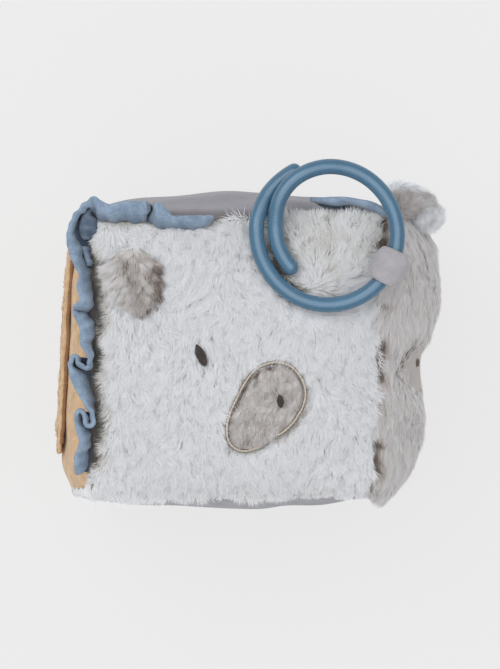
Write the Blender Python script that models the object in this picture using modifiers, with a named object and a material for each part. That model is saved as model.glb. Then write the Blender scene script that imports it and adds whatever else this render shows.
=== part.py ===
# Soft fabric block: a stuffed cube of six sewn panels with an animal's face on the front, a frill
# in the front seams, a flap on the left side and a plastic link ring in a tab at the right seam.
# Metres, +Z up. The block lies on its back: the origin is the centre of the flat face under it,
# +Z is the way the front panel faces, +Y is up on the face and +X is its right-hand side.

import math
from collections import namedtuple

import bmesh
import bpy
from mathutils import Matrix, Vector

# The stuffed body: finished panels from seam to seam, and how far each side swells
PANEL_WIDTH = 0.120
PANEL_HEIGHT = 0.117
SEAM_DEPTH = 0.112
FRONT_CROWN = 0.008
BACK_CROWN = 0.005
LEFT_CROWN = 0.0115
RIGHT_CROWN = 0.0240
TOP_CROWN = 0.008
BOTTOM_CROWN = 0.0065
SEAM_LEAN = 0.0022
REST_CUT = 0.0005

# Cloths and the gaps between them
PLUSH_THICKNESS = 0.004
GAUZE_THICKNESS = 0.0016
JERSEY_THICKNESS = 0.0014
SEAM_GAP = 0.00045
SOFT_GAP = 0.0004
FILLING_GAP = 0.0009

# The frill strips in the front seams
FRILL_WIDTH = 0.0105
FRILL_THICKNESS = 0.003
TOP_FRILL_WIDTH = 0.009
TOP_FRILL_THICKNESS = 0.0024
FRILL_LIFT = 0.0013

# The flap on the left side and the strip that sews it on
FLAP_LENGTH = 0.088
FLAP_WIDTH = 0.046
FLAP_THICKNESS = 0.0024
FLAP_FROM_TOP = 0.011
BAND_LENGTH = 0.0034
HINGE_GAP = 0.0008

# The link ring: an overlapping spiral of plastic rod
RING_RADIUS = 0.0289
RING_ROD = 0.0064
RING_FROM_SIDE = 0.0215
RING_FROM_TOP = 0.0081

# The velour tab that holds the ring
TAB_WIDTH = 0.014
TAB_WALL = 0.0019
TAB_REACH = 0.0076
TAB_RISE = 0.0063
TAB_NECK = 0.0034
TAB_EDGE = 0.0005
TAB_LIFT = 0.0016

# The face on the front panel
EAR_LENGTH = 0.030
EAR_WIDTH = 0.021
EAR_THICKNESS = 0.0045
EYE_LENGTH = 0.0085
EYE_WIDTH = 0.0034
STITCH_THICKNESS = 0.0012
MUZZLE_LENGTH = 0.0385
MUZZLE_WIDTH = 0.0300
MUZZLE_THICKNESS = 0.0025
CORD_DIAMETER = 0.0014
NOSTRIL_LENGTH = 0.0056
NOSTRIL_WIDTH = 0.0032

# The sewn-on shape on the right side and the tuft at the top right corner
PATCH_LENGTH = 0.052
PATCH_WIDTH = 0.023
PATCH_THICKNESS = 0.0022
PATCH_LIFT = 0.0007
DIMPLE_SIZE = 0.0036
TUFT_SIZE = 0.017
TUFT_DEPTH = 0.026

# Places on the face and the right side, as shares of half the panel's sizes, and tilts in degrees
EAR_PLACE_SHARES = (-0.68, 0.53)
EAR_TILT = -160
EYE_PLACE_SHARES = (-0.24, 0.01)
EYE_TILT = 22
MUZZLE_PLACE_SHARES = (0.225, -0.345)
MUZZLE_TILT = -32
NOSTRIL_PLACE_SHARES = (0.31, -0.31)
NOSTRIL_TILT = 8
PATCH_PLACE_SHARES = (-0.06, 0.31)
PATCH_TILT = 6
DIMPLE_PLACE_SHARES = (-0.045, 0.40)
TAPER_SHARE = 0.55

# The tuft's two lobes: how far out and up from the corner, half sizes, rise, as shares of the
# tuft's size and depth, and the way each one points in degrees
Lobe = namedtuple("Lobe", "name place_shares half_shares rise_share angle")
TUFT_LOBES = [
    Lobe("corner_tuft", (0.06, 0.40), (0.48, 0.35), 0.08, 6),
    Lobe("tuft_lower_lobe", (0.41, -0.15), (0.43, 0.42), -0.04, -8),
]
TUFT_HEIGHT_SHARE = 0.35
TUFT_TAPER_SHARE = 0.5
TUFT_LUMP_SHARE = 0.07
TUFT_LUMP_COUNT = 5

HALF_WIDTH = PANEL_WIDTH / 2
HALF_HEIGHT = PANEL_HEIGHT / 2
HALF_DEPTH = SEAM_DEPTH / 2
MIDDLE_Z = BACK_CROWN - REST_CUT + HALF_DEPTH
FRONT_SEAM_Z = MIDDLE_Z + HALF_DEPTH
FLAP_TOP = HALF_HEIGHT - FLAP_FROM_TOP
RING_CENTRE_X = HALF_WIDTH - RING_FROM_SIDE
RING_CENTRE_Y = HALF_HEIGHT - RING_FROM_TOP

# How the swelling is spread. Draw is the share of a side's crown that its ends lose, lean is
# how much more it swells towards the top of the face, and a higher power is a flatter middle.
Side = namedtuple("Side", "crown draw_share power lean_share cloth")
LEFT = Side(LEFT_CROWN, 0.5, 4, -0.2, GAUZE_THICKNESS)
RIGHT = Side(RIGHT_CROWN, 0, 4, 0, PLUSH_THICKNESS)
TOP = Side(TOP_CROWN, 0.8, 2.5, 0, JERSEY_THICKNESS)
BOTTOM = Side(BOTTOM_CROWN, 0.6, 3, 0, JERSEY_THICKNESS)
# The right side's swelling from its lower end to its upper one, as shares of its crown: it is
# drawn in under the sewn-on shape
RIGHT_SWELL_SHARES = (0.24, 0.51, 0.70, 0.77, 0.745, 0.78, 0.90, 0.98, 0.97, 0.85, 0.53)
SIDE_POWER = 2.4
FACE_POWER = 2.6
SPREAD_POWER = 3
MITRE_POWER = 6
PANEL_CELLS = 12

# The frill's free edge seen from the front, from its lower end on the left seam, round the
# corner, to its end on the top seam, as shares of half the panel's width and height
FRILL_EDGE_SHARES = [
    (-1.070, -0.815), (-1.052, -0.630), (-1.066, -0.522), (-1.096, -0.436),
    (-1.086, -0.376), (-1.052, -0.394), (-1.012, -0.462), (-0.982, -0.420),
    (-1.012, -0.290), (-1.070, -0.190), (-1.110, -0.098), (-1.134, -0.030),
    (-1.108, 0.018), (-1.064, -0.018), (-1.026, -0.078), (-0.992, -0.024),
    (-1.004, 0.078), (-1.010, 0.170), (-1.000, 0.240), (-1.046, 0.304),
    (-1.108, 0.346), (-1.060, 0.392), (-1.054, 0.490), (-1.054, 0.566),
    (-1.088, 0.658), (-1.124, 0.760), (-1.136, 0.862), (-1.108, 0.966),
    (-1.042, 1.058), (-0.960, 1.098), (-0.860, 1.088), (-0.740, 1.100),
    (-0.600, 1.104), (-0.530, 1.080), (-0.500, 1.010), (-0.430, 0.962),
    (-0.330, 0.948), (-0.220, 0.960), (-0.140, 0.990),
]
TOP_FRILL_EDGE_SHARES = [
    (0.460, 1.090), (0.560, 1.130), (0.690, 1.145), (0.840, 1.120), (0.960, 1.075), (1.020, 1.030),
]
FRILL_BASE_SHARE = 0.4
FRILL_BASE_REACH = 0.0017
FRILL_BASE_SINK_SHARE = 0.8
FRILL_END_SHARE = 0.62
FRILL_END_STEPS = 6
FRILL_STEPS = 3
FRILL_ROWS = 3
FRILL_AVERAGE_STEPS = 9
TOP_FRILL_AVERAGE_STEPS = 2

# The spiral of the ring in degrees about its centre: its tips and where the tab holds it
INNER_TIP_ANGLE = 229
TAB_ANGLE = -27
OUTER_TIP_ANGLE = -248
RING_STEPS = 64

# Where the rod leaves the plain round: angle, radius and height of its centre line. The inner
# end passes over the outer one, then lies beside it.
RING_INNER_LINE = (
    (40, 0.0289, 0.0), (60, 0.0289, 0.0003), (76, 0.0288, 0.0012), (90, 0.0286, 0.0023),
    (104, 0.0281, 0.0031), (118, 0.0274, 0.0032), (131, 0.0264, 0.0029), (146, 0.0249, 0.0023),
    (158, 0.0234, 0.0010), (170, 0.0223, 0.0), (182, 0.0215, 0.0), (194, 0.0210, 0.0),
    (206, 0.0206, 0.0), (218, 0.0204, 0.0), (230, 0.0204, 0.0),
)
RING_OUTER_LINE = (
    (-249, 0.0303, -0.0032), (-240, 0.0303, -0.0031), (-228, 0.0303, -0.0029),
    (-214, 0.0304, -0.0023), (-202, 0.0302, -0.0010), (-190, 0.0301, 0.0),
    (-177, 0.0296, 0.0), (-162, 0.0292, 0.0), (-148, 0.0289, 0.0),
)
ROD_SIDES_RESOLUTION = 3

ROD_TIP_SHARE = 0.25

PAD_SEGMENTS = 20
PAD_RINGS = 8
ARC_STEPS = 28
CORD_STEPS = 40
FLAP_CELLS = (12, 8)
BAND_CELLS = (2, 8)
FLAP_ROUND_SHARE = 0.18
TAB_OPENING_ANGLE = 52
SHARP_ANGLE = 50

PLUSH_COLOUR = (0.66, 0.67, 0.69)
TAUPE_COLOUR = (0.42, 0.38, 0.36)
OCHRE_COLOUR = (0.66, 0.43, 0.22)
LILAC_COLOUR = (0.41, 0.39, 0.42)
BLUE_CLOTH_COLOUR = (0.21, 0.30, 0.44)
BLUE_PLASTIC_COLOUR = (0.11, 0.26, 0.42)
THREAD_COLOUR = (0.09, 0.07, 0.06)
CORD_COLOUR = (0.55, 0.47, 0.38)
WADDING_COLOUR = (0.85, 0.85, 0.85)
CLOTH_ROUGHNESS = 0.95
THREAD_ROUGHNESS = 0.6
CORD_ROUGHNESS = 0.45
PLASTIC_ROUGHNESS = 0.3


def clear_scene():
    for item in list(bpy.data.objects):
        bpy.data.objects.remove(item, do_unlink=True)


def make_material(name, colour, roughness):
    material = bpy.data.materials.new(name)
    material.use_nodes = True
    shader = material.node_tree.nodes["Principled BSDF"]
    shader.inputs["Base Color"].default_value = (*colour, 1)
    shader.inputs["Roughness"].default_value = roughness
    shader.inputs["Metallic"].default_value = 0
    return material


def add_object(name, data, collection, material=None):
    item = bpy.data.objects.new(name, data)
    collection.objects.link(item)
    if material:
        data.materials.append(material)
    return item


def finish_mesh(name, bm, collection, material=None):
    bmesh.ops.recalc_face_normals(bm, faces=bm.faces[:])
    is_closed = all(edge.is_manifold for edge in bm.edges)
    if is_closed and bm.calc_volume(signed=True) < 0:
        bmesh.ops.reverse_faces(bm, faces=bm.faces[:])
    mesh = bpy.data.meshes.new(name)
    bm.to_mesh(mesh)
    bm.free()
    mesh.shade_smooth()
    mesh.set_sharp_from_angle(angle=math.radians(SHARP_ANGLE))
    return add_object(name, mesh, collection, material)


def signed_power(value, power):
    return math.copysign(abs(value) ** power, value)


def share_along(shares, place):
    """A smooth value from evenly spaced shares, for a place from -1 to 1."""
    spot = (place + 1) / 2 * (len(shares) - 1)
    i = min(max(int(spot), 0), len(shares) - 2)
    t = spot - i
    first, last = shares[i], shares[i + 1]
    before, after = shares[max(i - 1, 0)], shares[min(i + 2, len(shares) - 1)]
    return (
        2 * first + (last - before) * t + (2 * before - 5 * first + 4 * last - after) * t ** 2
        + (3 * first - before - 3 * last + after) * t ** 3
    ) / 2


# The cover. A point of the unit cube's surface goes to the swollen block's outer surface: the
# seams of the front and back stay flat squares, and the side seams bow out between them.
def skin(a, b, c):
    x_side = RIGHT if a > 0 else LEFT
    y_side = TOP if b > 0 else BOTTOM
    depth_fill = 1 - abs(c) ** SIDE_POWER
    x_fill = (1 - x_side.draw_share * abs(b) ** x_side.power) * (1 + x_side.lean_share * b)
    if a > 0:
        x_fill = share_along(RIGHT_SWELL_SHARES, b)
    y_fill = (1 - y_side.draw_share * abs(a) ** y_side.power) * (1 + y_side.lean_share * a)
    face_fill = (1 - abs(a) ** FACE_POWER) * (1 - abs(b) ** FACE_POWER)
    z_crown = FRONT_CROWN if c > 0 else BACK_CROWN
    x = HALF_WIDTH * a + signed_power(a, SPREAD_POWER) * x_side.crown * x_fill * depth_fill
    y = HALF_HEIGHT * b + signed_power(b, SPREAD_POWER) * y_side.crown * y_fill * depth_fill
    z = MIDDLE_Z + HALF_DEPTH * c + signed_power(c, SPREAD_POWER) * z_crown * face_fill
    return Vector((x + SEAM_LEAN * b * max(a, 0), y, z))


def inset_skin(a, b, c, layers, extra):
    """A point under the skin by a number of cloth layers and an extra distance."""
    x_cloth = (RIGHT if a > 0 else LEFT).cloth
    y_cloth = (TOP if b > 0 else BOTTOM).cloth
    z_cloth = PLUSH_THICKNESS if c > 0 else JERSEY_THICKNESS
    inward = Vector((
        signed_power(a, MITRE_POWER) * (x_cloth * layers + extra),
        signed_power(b, MITRE_POWER) * (y_cloth * layers + extra),
        signed_power(c, MITRE_POWER) * (z_cloth * layers + extra),
    ))
    point = skin(a, b, c) - inward
    point.z = max(point.z, layers * REST_CUT)
    return point


FACE_FRAMES = {
    "front": lambda u, v: (u, v, 1),
    "back": lambda u, v: (-u, v, -1),
    "left": lambda u, v: (-1, u, v),
    "right": lambda u, v: (1, u, v),
    "top": lambda u, v: (u, 1, v),
    "bottom": lambda u, v: (u, -1, v),
}


def make_panel(side, collection, material):
    """A sewn panel: its outer surface, pushed in by its cloth, with mitred edges at the seams."""
    to_cube = FACE_FRAMES[side]
    reach = 1 - SEAM_GAP / PANEL_WIDTH
    bm = bmesh.new()
    bmesh.ops.create_grid(bm, x_segments=PANEL_CELLS, y_segments=PANEL_CELLS, size=reach)
    places = [to_cube(v.co.x, v.co.y) for v in bm.verts]
    for vert, place in zip(bm.verts, places):
        vert.co = inset_skin(*place, 0, 0)
    outer = bm.verts[:]
    shell = bmesh.ops.extrude_face_region(bm, geom=bm.faces[:], use_keep_orig=True)
    inner = [item for item in shell["geom"] if isinstance(item, bmesh.types.BMVert)]
    place_of = {tuple(v.co): place for v, place in zip(outer, places)}
    for vert in inner:
        vert.co = inset_skin(*place_of[tuple(vert.co)], 1, 0)
    return finish_mesh(side + "_panel", bm, collection, material)


def make_block_body(name, layers, extra, collection, material=None):
    """The whole block's outer form, set in or out from the skin."""
    bm = bmesh.new()
    bmesh.ops.create_cube(bm, size=2)
    bmesh.ops.subdivide_edges(bm, edges=bm.edges[:], cuts=PANEL_CELLS - 1, use_grid_fill=True)
    for vert in bm.verts:
        vert.co = inset_skin(*vert.co, layers, extra)
    return finish_mesh(name, bm, collection, material)


def surface(side, p, q, lift):
    """A point on a side of the block, raised along the surface's normal."""
    halves = {"front": (HALF_WIDTH, HALF_HEIGHT)}.get(side, (HALF_HEIGHT, HALF_DEPTH))
    drop = MIDDLE_Z if side in ("left", "right") else 0
    u, v = p / halves[0], (q - drop) / halves[1]
    to_cube = FACE_FRAMES[side]
    step = SOFT_GAP / PANEL_WIDTH
    point = skin(*to_cube(u, v))
    along = skin(*to_cube(u + step, v)) - skin(*to_cube(u - step, v))
    across = skin(*to_cube(u, v + step)) - skin(*to_cube(u, v - step))
    normal = along.cross(across).normalized()
    if side == "left":
        normal.negate()
    return point + normal * lift


def make_pad(name, side, centre, outline, thickness, collection, material, lift=SOFT_GAP):
    """A low cushion that follows a side of the block. outline gives its reach at an angle."""
    bm = bmesh.new()
    bmesh.ops.create_uvsphere(bm, u_segments=PAD_SEGMENTS, v_segments=PAD_RINGS, radius=1)
    for vert in bm.verts:
        turn = math.atan2(vert.co.y, vert.co.x)
        reach = math.sqrt(min(1, math.hypot(vert.co.x, vert.co.y)))
        p, q = outline(turn)
        rise = (1 + vert.co.z) / 2 * thickness
        vert.co = surface(side, centre[0] + p * reach, centre[1] + q * reach, lift + rise)
    return finish_mesh(name, bm, collection, material)


def turned(p, q, degrees):
    angle = math.radians(degrees)
    return (
        p * math.cos(angle) - q * math.sin(angle),
        p * math.sin(angle) + q * math.cos(angle),
    )


def oval(width, length, tilt):
    """An ellipse whose length stands up the face and leans by tilt degrees."""
    return lambda turn: turned(width / 2 * math.cos(turn), length / 2 * math.sin(turn), tilt)


def drop_shape(width, length, tilt, taper_share):
    """An oval that narrows to a tip at its upper end."""
    def outline(turn):
        up = math.sin(turn)
        narrow = 1 - taper_share * max(0, up) ** 2
        return turned(width / 2 * math.cos(turn) * narrow, length / 2 * up, tilt)
    return outline


# The frills. A strip runs from its base in the seam to its free edge, and is gathered at the base.
def smooth_line(controls, steps):
    """Points on a Catmull-Rom curve through the controls."""
    padded = [2 * controls[0] - controls[1], *controls, 2 * controls[-1] - controls[-2]]
    points = []
    for p0, p1, p2, p3 in zip(padded, padded[1:], padded[2:], padded[3:]):
        for step in range(steps):
            t = step / steps
            points.append(
                ((2 * p1) + (p2 - p0) * t + (2 * p0 - 5 * p1 + 4 * p2 - p3) * t ** 2
                 + (3 * p1 - p0 - 3 * p2 + p3) * t ** 3) / 2
            )
    return [*points, controls[-1]]


def seam_path(edge, average_steps):
    """The seam under a wavy edge: the edge averaged along its way, held inside the panel."""
    path = []
    for i in range(len(edge)):
        near = edge[max(0, i - average_steps):i + average_steps + 1]
        mean = sum(near, Vector((0, 0))) / len(near)
        path.append(Vector((
            min(max(mean.x, -HALF_WIDTH), HALF_WIDTH + SEAM_LEAN),
            min(mean.y, HALF_HEIGHT),
        )))
    return path


def make_frill(name, shares, width, thickness, average_steps, collection, material):
    controls = [Vector((x * HALF_WIDTH, y * HALF_HEIGHT)) for x, y in shares]
    edge = smooth_line(controls, FRILL_STEPS)
    seam = seam_path(edge, average_steps)
    last = len(edge) - 1
    bm = bmesh.new()
    bmesh.ops.create_grid(bm, x_segments=last, y_segments=FRILL_ROWS, size=1)
    heights = {}
    for vert in bm.verts:
        i = round((vert.co.x + 1) / 2 * last)
        up = (vert.co.y + 1) / 2
        wave = edge[i] - seam[i]
        base = seam[i] + wave * min(FRILL_BASE_SHARE, FRILL_BASE_REACH / wave.length)
        out = (edge[i] - base).length
        end = min(i, last - i) / FRILL_END_STEPS
        reach = width * (FRILL_END_SHARE + (1 - FRILL_END_SHARE) * min(1, end))
        inside = Vector((
            min(max(base.x / HALF_WIDTH, -1), 1), min(base.y / HALF_HEIGHT, 1),
        ))
        sink = FRILL_BASE_SINK_SHARE * max(
            abs(base.x) - HALF_WIDTH, base.y - HALF_HEIGHT, 0
        )
        foot_z = skin(inside.x, inside.y, 1).z + FRILL_LIFT - sink
        top_z = foot_z + math.sqrt(max(reach ** 2 - out ** 2, (reach / 2) ** 2))
        plan = base.lerp(edge[i], up)
        vert.co = Vector((plan.x, plan.y, foot_z + (top_z - foot_z) * up))
        heights[vert.index] = up
    item = finish_mesh(name, bm, collection, material)
    group = item.vertex_groups.new(name="fullness")
    for index, up in heights.items():
        group.add([index], FRILL_BASE_SHARE + (1 - FRILL_BASE_SHARE) * up, "REPLACE")
    solid = item.modifiers.new("Solidify", "SOLIDIFY")
    solid.thickness = thickness
    solid.offset = 0
    solid.vertex_group = group.name
    return item


# The flap and its band are sheets that follow the left side.
def make_side_sheet(name, low, high, width, thickness, round_share, cells, collection, material):
    """A sheet on the left side from one height to another, its lower corners rounded."""
    bm = bmesh.new()
    bmesh.ops.create_grid(bm, x_segments=cells[0], y_segments=cells[1], size=1)
    for vert in bm.verts:
        along = (vert.co.x + 1) / 2
        near_end = max(0, 1 - along / round_share) if round_share else 0
        narrow = math.sqrt(1 - near_end ** 2 * round_share)
        p = low + (high - low) * along
        q = MIDDLE_Z + width / 2 * vert.co.y * narrow
        vert.co = surface("left", p, q, SOFT_GAP + thickness / 2)
    item = finish_mesh(name, bm, collection, material)
    solid = item.modifiers.new("Solidify", "SOLIDIFY")
    solid.thickness = thickness
    solid.offset = 0
    return item


# The link ring. Its two ends lie side by side and cross where the outer tip goes under.
def smooth_row(rows, angle):
    """Radius and height at an angle, on a smooth line through the rows."""
    i = next((k for k, row in enumerate(rows) if row[0] >= angle), len(rows) - 1)
    i = max(i, 1)
    first, last = rows[i - 1], rows[i]
    before, after = rows[max(i - 2, 0)], rows[min(i + 1, len(rows) - 1)]
    width = last[0] - first[0]
    t = (angle - first[0]) / width
    result = []
    for k in (1, 2):
        slope_in = (last[k] - before[k]) / (last[0] - before[0]) * width
        slope_out = (after[k] - first[k]) / (after[0] - first[0]) * width
        result.append(
            (2 * t ** 3 - 3 * t ** 2 + 1) * first[k] + (t ** 3 - 2 * t ** 2 + t) * slope_in
            + (3 * t ** 2 - 2 * t ** 3) * last[k] + (t ** 3 - t ** 2) * slope_out
        )
    return result


def ring_point(angle):
    """A point of the rod's centre line about the ring's centre, for the unwound angle."""
    radius, z = RING_RADIUS, 0
    for rows in (RING_INNER_LINE, RING_OUTER_LINE):
        if rows[0][0] <= angle <= rows[-1][0]:
            radius, z = smooth_row(rows, angle)
    theta = math.radians(angle)
    return Vector((radius * math.cos(theta), radius * math.sin(theta), z))


def ring_angles():
    step = (INNER_TIP_ANGLE - OUTER_TIP_ANGLE) / RING_STEPS
    return [INNER_TIP_ANGLE - i * step for i in range(RING_STEPS + 1)]


def ring_height():
    """The height at which the rod lies on the front panel."""
    top = 0
    for angle in ring_angles():
        place = ring_point(angle) + Vector((RING_CENTRE_X, RING_CENTRE_Y, 0))
        u, v = place.x / HALF_WIDTH, place.y / HALF_HEIGHT
        if abs(u) < 1 and abs(v) < 1:
            top = max(top, skin(u, v, 1).z - place.z)
    return top + SOFT_GAP + RING_ROD / 2


def ring_self_gap(points):
    """The least gap between stretches of the rod that are a quarter of a turn or more apart."""
    apart = round(90 * RING_STEPS / (INNER_TIP_ANGLE - OUTER_TIP_ANGLE))
    nearest = min(
        (a - b).length for i, a in enumerate(points) for b in points[i + apart:]
    )
    return nearest - RING_ROD


def make_ring(collection, material, centre):
    curve = bpy.data.curves.new("link_ring", "CURVE")
    curve.dimensions = "3D"
    curve.bevel_depth = RING_ROD / 2
    curve.bevel_resolution = ROD_SIDES_RESOLUTION
    curve.use_fill_caps = True
    angles = ring_angles()
    points = [ring_point(angle) for angle in angles]
    print("least gap of the ring to itself, mm:", round(ring_self_gap(points) * 1000, 2))
    spline = curve.splines.new("POLY")
    spline.points.add(len(points) - 1)
    for i, (point, place) in enumerate(zip(spline.points, points)):
        point.co = (*place, 1)
        from_end = min(i, len(points) - 1 - i)
        tip = (points[1] - points[0]).length * (from_end + ROD_TIP_SHARE)
        rod = RING_ROD / 2
        point.radius = math.sqrt(1 - max(0, 1 - tip / rod) ** 2)
    item = add_object("link_ring", curve, collection, material)
    item.location = centre
    return item


# The velour tab: a loop round the rod, drawn in to a neck that is sewn into the right seam.
def tab_outline(reach, rise, neck_point, steps):
    """The loop's outline in its own plane: an oval, open towards the neck, and the neck's foot."""
    toward = math.atan2(neck_point.y, neck_point.x)
    opening = math.radians(TAB_OPENING_ANGLE)
    points = []
    for i in range(steps + 1):
        angle = toward + opening + (2 * math.pi - 2 * opening) * i / steps
        points.append(Vector((reach * math.cos(angle), rise * math.sin(angle))))
    side = Vector((TAB_NECK / 2, 0))
    return [*points, neck_point - side, neck_point + side]


def make_tab(collection, material, centre):
    radial = Vector((math.cos(math.radians(TAB_ANGLE)), math.sin(math.radians(TAB_ANGLE)), 0))
    held = centre + RING_RADIUS * radial
    seam_x = HALF_WIDTH + SEAM_LEAN * held.y / HALF_HEIGHT
    foot = Vector((
        (seam_x - held.x) / radial.x,
        FRONT_SEAM_Z + TAB_LIFT - held.z,
    ))
    curve = bpy.data.curves.new("ring_tab", "CURVE")
    curve.dimensions = "2D"
    curve.fill_mode = "BOTH"
    curve.extrude = TAB_WIDTH / 2 - TAB_EDGE
    curve.bevel_depth = TAB_EDGE
    curve.bevel_resolution = 1
    # The rounded edge stands out from both outlines, into the hole as well
    hole_inset = TAB_WALL - TAB_EDGE
    hole = [
        Vector(((TAB_REACH - hole_inset) * math.cos(a), (TAB_RISE - hole_inset) * math.sin(a)))
        for a in (2 * math.pi * i / ARC_STEPS for i in range(ARC_STEPS))
    ]
    loop = tab_outline(TAB_REACH - TAB_EDGE, TAB_RISE - TAB_EDGE, foot, ARC_STEPS)
    for points in (loop, hole):
        spline = curve.splines.new("POLY")
        spline.points.add(len(points) - 1)
        for point, place in zip(spline.points, points):
            point.co = (place.x, place.y, 0, 1)
        spline.use_cyclic_u = True
    item = add_object("ring_tab", curve, collection, material)
    up = Vector((0, 0, 1))
    turn = Matrix((radial, up, radial.cross(up))).transposed()
    item.matrix_world = Matrix.Translation(held) @ turn.to_4x4()
    return item


def make_muzzle_cord(centre, collection, material):
    """The satin cord round the muzzle, lying on the front panel."""
    curve = bpy.data.curves.new("muzzle_cord", "CURVE")
    curve.dimensions = "3D"
    curve.bevel_depth = CORD_DIAMETER / 2
    curve.bevel_resolution = 1
    margin = CORD_DIAMETER + 2 * SOFT_GAP
    outline = oval(MUZZLE_WIDTH + margin, MUZZLE_LENGTH + margin, MUZZLE_TILT)
    spline = curve.splines.new("POLY")
    spline.points.add(CORD_STEPS - 1)
    for i, point in enumerate(spline.points):
        p, q = outline(2 * math.pi * i / CORD_STEPS)
        lift = SOFT_GAP + CORD_DIAMETER / 2
        point.co = (*surface("front", centre[0] + p, centre[1] + q, lift), 1)
    spline.use_cyclic_u = True
    return add_object("muzzle_cord", curve, collection, material)


def make_tuft(collection, cutters, material):
    """Two lobes of long plush outside the top right corner, cut to fit the block."""
    corner = skin(1, 1, TUFT_HEIGHT_SHARE)
    lobes = []
    for lobe in TUFT_LOBES:
        bm = bmesh.new()
        bmesh.ops.create_uvsphere(bm, u_segments=PAD_SEGMENTS, v_segments=PAD_RINGS, radius=1)
        shift = Vector((*lobe.place_shares, 0)) * TUFT_SIZE
        shift.z = lobe.rise_share * TUFT_DEPTH
        for vert in bm.verts:
            x, y, z = vert.co
            narrow = 1 - TUFT_TAPER_SHARE * ((1 + x) / 2) ** 2
            lump = 1 + TUFT_LUMP_SHARE * math.sin(TUFT_LUMP_COUNT * math.atan2(z, y) + x)
            along = x * lobe.half_shares[0] * TUFT_SIZE
            across = y * lobe.half_shares[1] * TUFT_SIZE * narrow * lump
            up = z * TUFT_DEPTH / 2 * narrow * lump
            vert.co = corner + shift + Vector((*turned(along, across, lobe.angle), up))
        is_first = not lobes
        owner = collection if is_first else cutters
        lobes.append(finish_mesh(lobe.name, bm, owner, material if is_first else None))
    block = make_block_body("block_cutter", 0, -SOFT_GAP, cutters)
    for tool, operation in ((lobes[1], "UNION"), (block, "DIFFERENCE")):
        cut = lobes[0].modifiers.new(operation.title(), "BOOLEAN")
        cut.operation = operation
        cut.solver = "EXACT"
        cut.object = tool
        tool.hide_render = True
        tool.display_type = "WIRE"
    return lobes[0]


def front_place(shares):
    return shares[0] * HALF_WIDTH, shares[1] * HALF_HEIGHT


def side_place(shares):
    return shares[0] * HALF_HEIGHT, MIDDLE_Z + shares[1] * HALF_DEPTH


def main():
    clear_scene()
    parts = bpy.data.collections.new("soft_fabric_block")
    cutters = bpy.data.collections.new("cutters")
    for collection in (parts, cutters):
        bpy.context.scene.collection.children.link(collection)

    plush = make_material("white_plush", PLUSH_COLOUR, CLOTH_ROUGHNESS)
    taupe = make_material("taupe_plush", TAUPE_COLOUR, CLOTH_ROUGHNESS)
    ochre = make_material("ochre_gauze", OCHRE_COLOUR, CLOTH_ROUGHNESS)
    jersey = make_material("lilac_jersey", LILAC_COLOUR, CLOTH_ROUGHNESS)
    gauze = make_material("blue_gauze", BLUE_CLOTH_COLOUR, CLOTH_ROUGHNESS)
    plastic = make_material("blue_plastic", BLUE_PLASTIC_COLOUR, PLASTIC_ROUGHNESS)
    thread = make_material("dark_thread", THREAD_COLOUR, THREAD_ROUGHNESS)
    satin = make_material("satin_cord", CORD_COLOUR, CORD_ROUGHNESS)
    wadding = make_material("wadding", WADDING_COLOUR, CLOTH_ROUGHNESS)

    panel_cloths = {
        "front": plush, "back": jersey, "left": ochre,
        "right": taupe, "top": jersey, "bottom": jersey,
    }
    for side, cloth in panel_cloths.items():
        make_panel(side, parts, cloth)
    make_block_body("filling", 1, FILLING_GAP, parts, wadding)

    make_frill(
        "side_frill", FRILL_EDGE_SHARES, FRILL_WIDTH, FRILL_THICKNESS,
        FRILL_AVERAGE_STEPS, parts, gauze,
    )
    make_frill(
        "top_frill", TOP_FRILL_EDGE_SHARES, TOP_FRILL_WIDTH, TOP_FRILL_THICKNESS,
        TOP_FRILL_AVERAGE_STEPS, parts, gauze,
    )
    make_side_sheet(
        "flap", FLAP_TOP - FLAP_LENGTH, FLAP_TOP, FLAP_WIDTH, FLAP_THICKNESS, FLAP_ROUND_SHARE,
        FLAP_CELLS, parts, ochre,
    )
    make_side_sheet(
        "flap_band", FLAP_TOP + HINGE_GAP, FLAP_TOP + HINGE_GAP + BAND_LENGTH, FLAP_WIDTH,
        FLAP_THICKNESS, 0, BAND_CELLS, parts, ochre,
    )

    centre = Vector((RING_CENTRE_X, RING_CENTRE_Y, ring_height()))
    make_ring(parts, plastic, centre)
    make_tab(parts, taupe, centre)

    make_pad("ear_patch", "front", front_place(EAR_PLACE_SHARES),
             drop_shape(EAR_WIDTH, EAR_LENGTH, EAR_TILT, TAPER_SHARE), EAR_THICKNESS, parts, taupe)
    make_pad("eye", "front", front_place(EYE_PLACE_SHARES),
             oval(EYE_WIDTH, EYE_LENGTH, EYE_TILT), STITCH_THICKNESS, parts, thread)
    muzzle_place = front_place(MUZZLE_PLACE_SHARES)
    make_pad("muzzle", "front", muzzle_place,
             oval(MUZZLE_WIDTH, MUZZLE_LENGTH, MUZZLE_TILT), MUZZLE_THICKNESS, parts, taupe)
    make_muzzle_cord(muzzle_place, parts, satin)
    make_pad("nostril", "front", front_place(NOSTRIL_PLACE_SHARES),
             oval(NOSTRIL_WIDTH, NOSTRIL_LENGTH, NOSTRIL_TILT), STITCH_THICKNESS, parts, thread,
             lift=MUZZLE_THICKNESS + 2 * SOFT_GAP)

    make_pad("side_patch", "right", side_place(PATCH_PLACE_SHARES),
             drop_shape(PATCH_WIDTH, PATCH_LENGTH, PATCH_TILT, TAPER_SHARE), PATCH_THICKNESS,
             parts, taupe, lift=PATCH_LIFT)
    make_pad("side_dimple", "right", side_place(DIMPLE_PLACE_SHARES),
             oval(DIMPLE_SIZE, DIMPLE_SIZE, 0), STITCH_THICKNESS, parts, thread,
             lift=PATCH_LIFT + PATCH_THICKNESS + SOFT_GAP)
    make_tuft(parts, cutters, plush)
    print("ring centre", tuple(round(v, 5) for v in centre))


main()
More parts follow.
